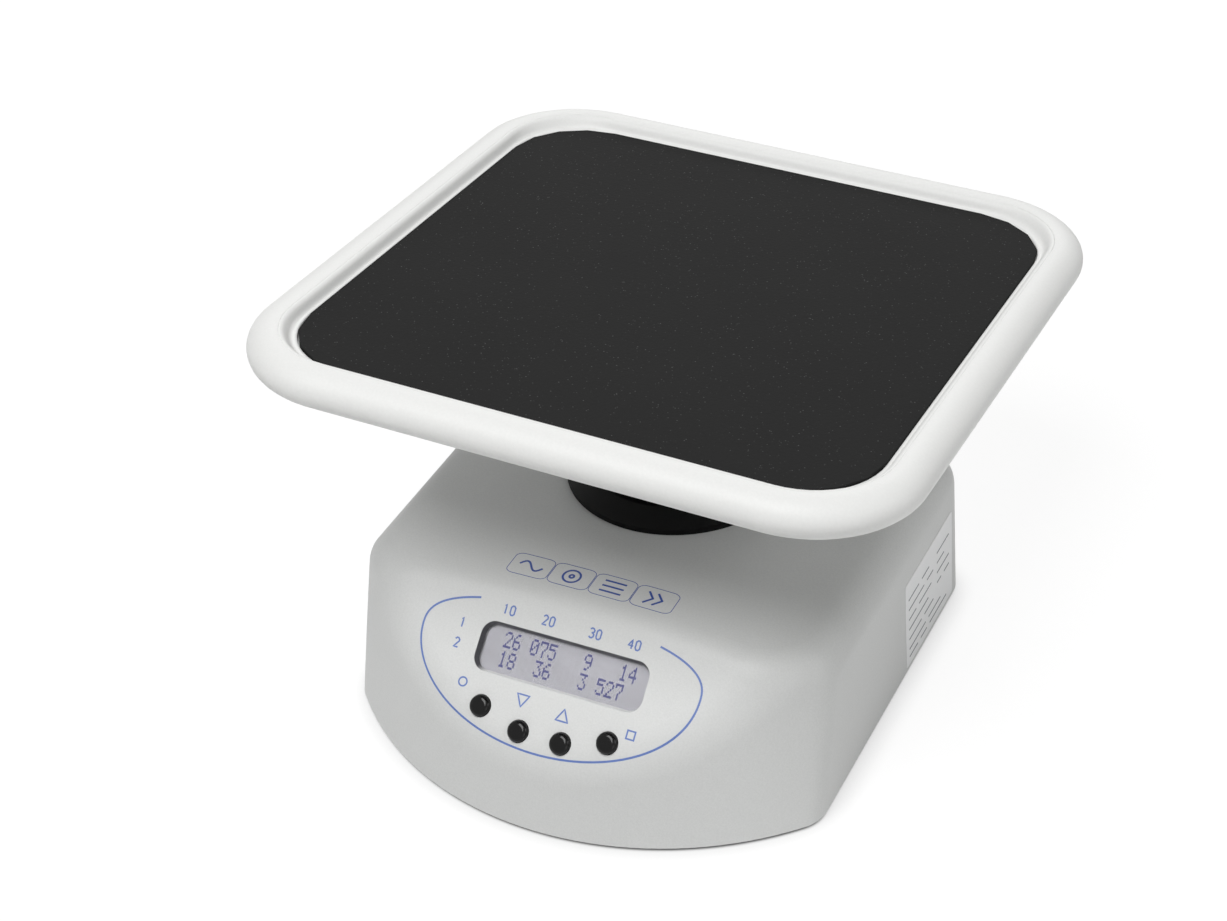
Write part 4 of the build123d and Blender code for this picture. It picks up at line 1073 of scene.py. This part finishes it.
switch_points, switch_faces = [], []
bar = [(switch_x + bar_shift, switch_z - bar_reach), (switch_x + bar_shift, switch_z + bar_reach)]
add_stroke(switch_points, switch_faces, bar, mark_width, laid_on_rocker)
ring = circle_line(switch_x + ring_shift, switch_z, ring_radius)
add_stroke(switch_points, switch_faces, ring, mark_width, laid_on_rocker, closed=True)
make_piece("switch_marks", switch_points, switch_faces, mark_finish, "power_rocker", smooth=False)

# %% [markdown]
# ## Floor and light
# The instrument stands on a plain white floor. The floor takes the lamps' light and keeps the shadow.
# For the camera, and for what mirrors or looks through glass, most of it is a white glow, so it
# reaches white without any extra light on the object. Close under the instrument the glow goes dark,
# which is a painted contact shadow: an Ambient Occlusion node tells where the floor is nearly covered,
# and that draws the line of contact.


# %% Helper for what is seen directly
def seen_directly(tree):
    """1 for what the camera, a mirror or a glass sees, and 0 for the light that falls on pieces."""
    paths = tree.nodes.new("ShaderNodeLightPath")
    seen = Signal(tree, paths.outputs["Is Camera Ray"])
    for way in ("Is Glossy Ray", "Is Transmission Ray"):
        seen = seen.math("MAXIMUM", Signal(tree, paths.outputs[way]))
    return seen


# %% Floor
floor_half = 3.0
floor_points = [(-floor_half, -floor_half, 0), (floor_half, -floor_half, 0),
                (floor_half, floor_half, 0), (-floor_half, floor_half, 0)]
floor_mesh = bpy.data.meshes.new("floor")
floor_mesh.from_pydata(floor_points, [], [(0, 1, 2, 3)])
floor = bpy.data.objects.new("floor", floor_mesh)
bpy.context.scene.collection.objects.link(floor)
print("floor:", 2 * floor_half, "m square")

# %% Floor finish
floor_colour = (0.80, 0.80, 0.80)
floor_glow = 1.1
far_glow = 0.14
glow_far_from = 0.4
glow_far_to = 1.2
floor_share = 0.82
contact_reach = 14 * mm
contact_stops = ((0.18, 0.02), (0.42, 0.72), (0.85, 1.0))
floor_finish, shader, place = start_finish("floor_white", floor_colour, 0.9, Specular_IOR_Level=0.0)
seen = seen_directly(place.tree)
# The glow's colour is darkened where the floor is nearly covered: this is painted contact shadow.
openness = seen.node("ShaderNodeAmbientOcclusion", {"samples": 16},
                     {"Distance": contact_reach}, output=1)
glow_colour = openness.node("ShaderNodeValToRGB", {"stops": contact_stops}, {"Fac": openness})
away = place.node("ShaderNodeVectorMath", {"operation": "LENGTH"}, {0: place}, output=1)
strength = floor_glow + between(away, glow_far_from, glow_far_to) * far_glow
glow = seen.node("ShaderNodeEmission", {}, {"Color": glow_colour, "Strength": strength})
lit = Signal(place.tree, shader.outputs[0])
surface = glow.node("ShaderNodeMixShader", {}, {0: seen * floor_share, 1: lit, 2: glow})
feed(place.tree.nodes["Material Output"], "Surface", surface)
floor_mesh.materials.append(floor_finish)
print("floor finish:", floor_finish.name)

# %% [markdown]
# The world is white where it is seen, and gives the pieces only a weak fill with a slight green tint,
# as a room does.

# %% World
world_fill = 0.10
fill_tint = (0.965, 1.0, 0.95)
world_white = (1.0, 1.0, 1.0)
world = bpy.data.worlds.new("studio")
world.use_nodes = True
bpy.context.scene.world = world
background = world.node_tree.nodes["Background"]
world_seen = seen_directly(world.node_tree)
feed(background, "Strength", world_fill + world_seen * (1.0 - world_fill))
feed(background, "Color", mixed(world_seen, fill_tint, world_white))
print("world fill:", world_fill)

# %% [markdown]
# Four square soft boxes light the object. The one above and in front gives most of the light, two on
# the right lift the side wall, and one behind keeps the back from going dark.


# %% Lamps
def soft_lamp(name, place, aim, size, power):
    """A square soft box at a place, turned to its aim."""
    light = bpy.data.lights.new(name, "AREA")
    light.shape = "SQUARE"
    light.size = size
    light.energy = power
    lamp = bpy.data.objects.new(name, light)
    lamp.location = place
    lamp.rotation_euler = (Vector(aim) - Vector(place)).to_track_quat("-Z", "Y").to_euler()
    bpy.context.scene.collection.objects.link(lamp)
    return lamp


soft_lamp("top_box", (-0.13, -0.7, 1.66), (0, 0, 0.1), 0.95, 25.4)
soft_lamp("side_box", (1.6, 0.3, 0.9), (0, 0, 0.06), 0.8, 4.8)
soft_lamp("low_box", (1.3, -0.9, 0.4), (0, 0, 0.06), 0.8, 2.1)
soft_lamp("back_box", (-0.5, 1.5, 0.8), (0, 0, 0.06), 1.0, 7.0)

# %% [markdown]
# ## Colour
# The view transform is Standard, so a colour renders about as it is written.

# %% Finish
bpy.context.scene.view_settings.view_transform = "Standard"
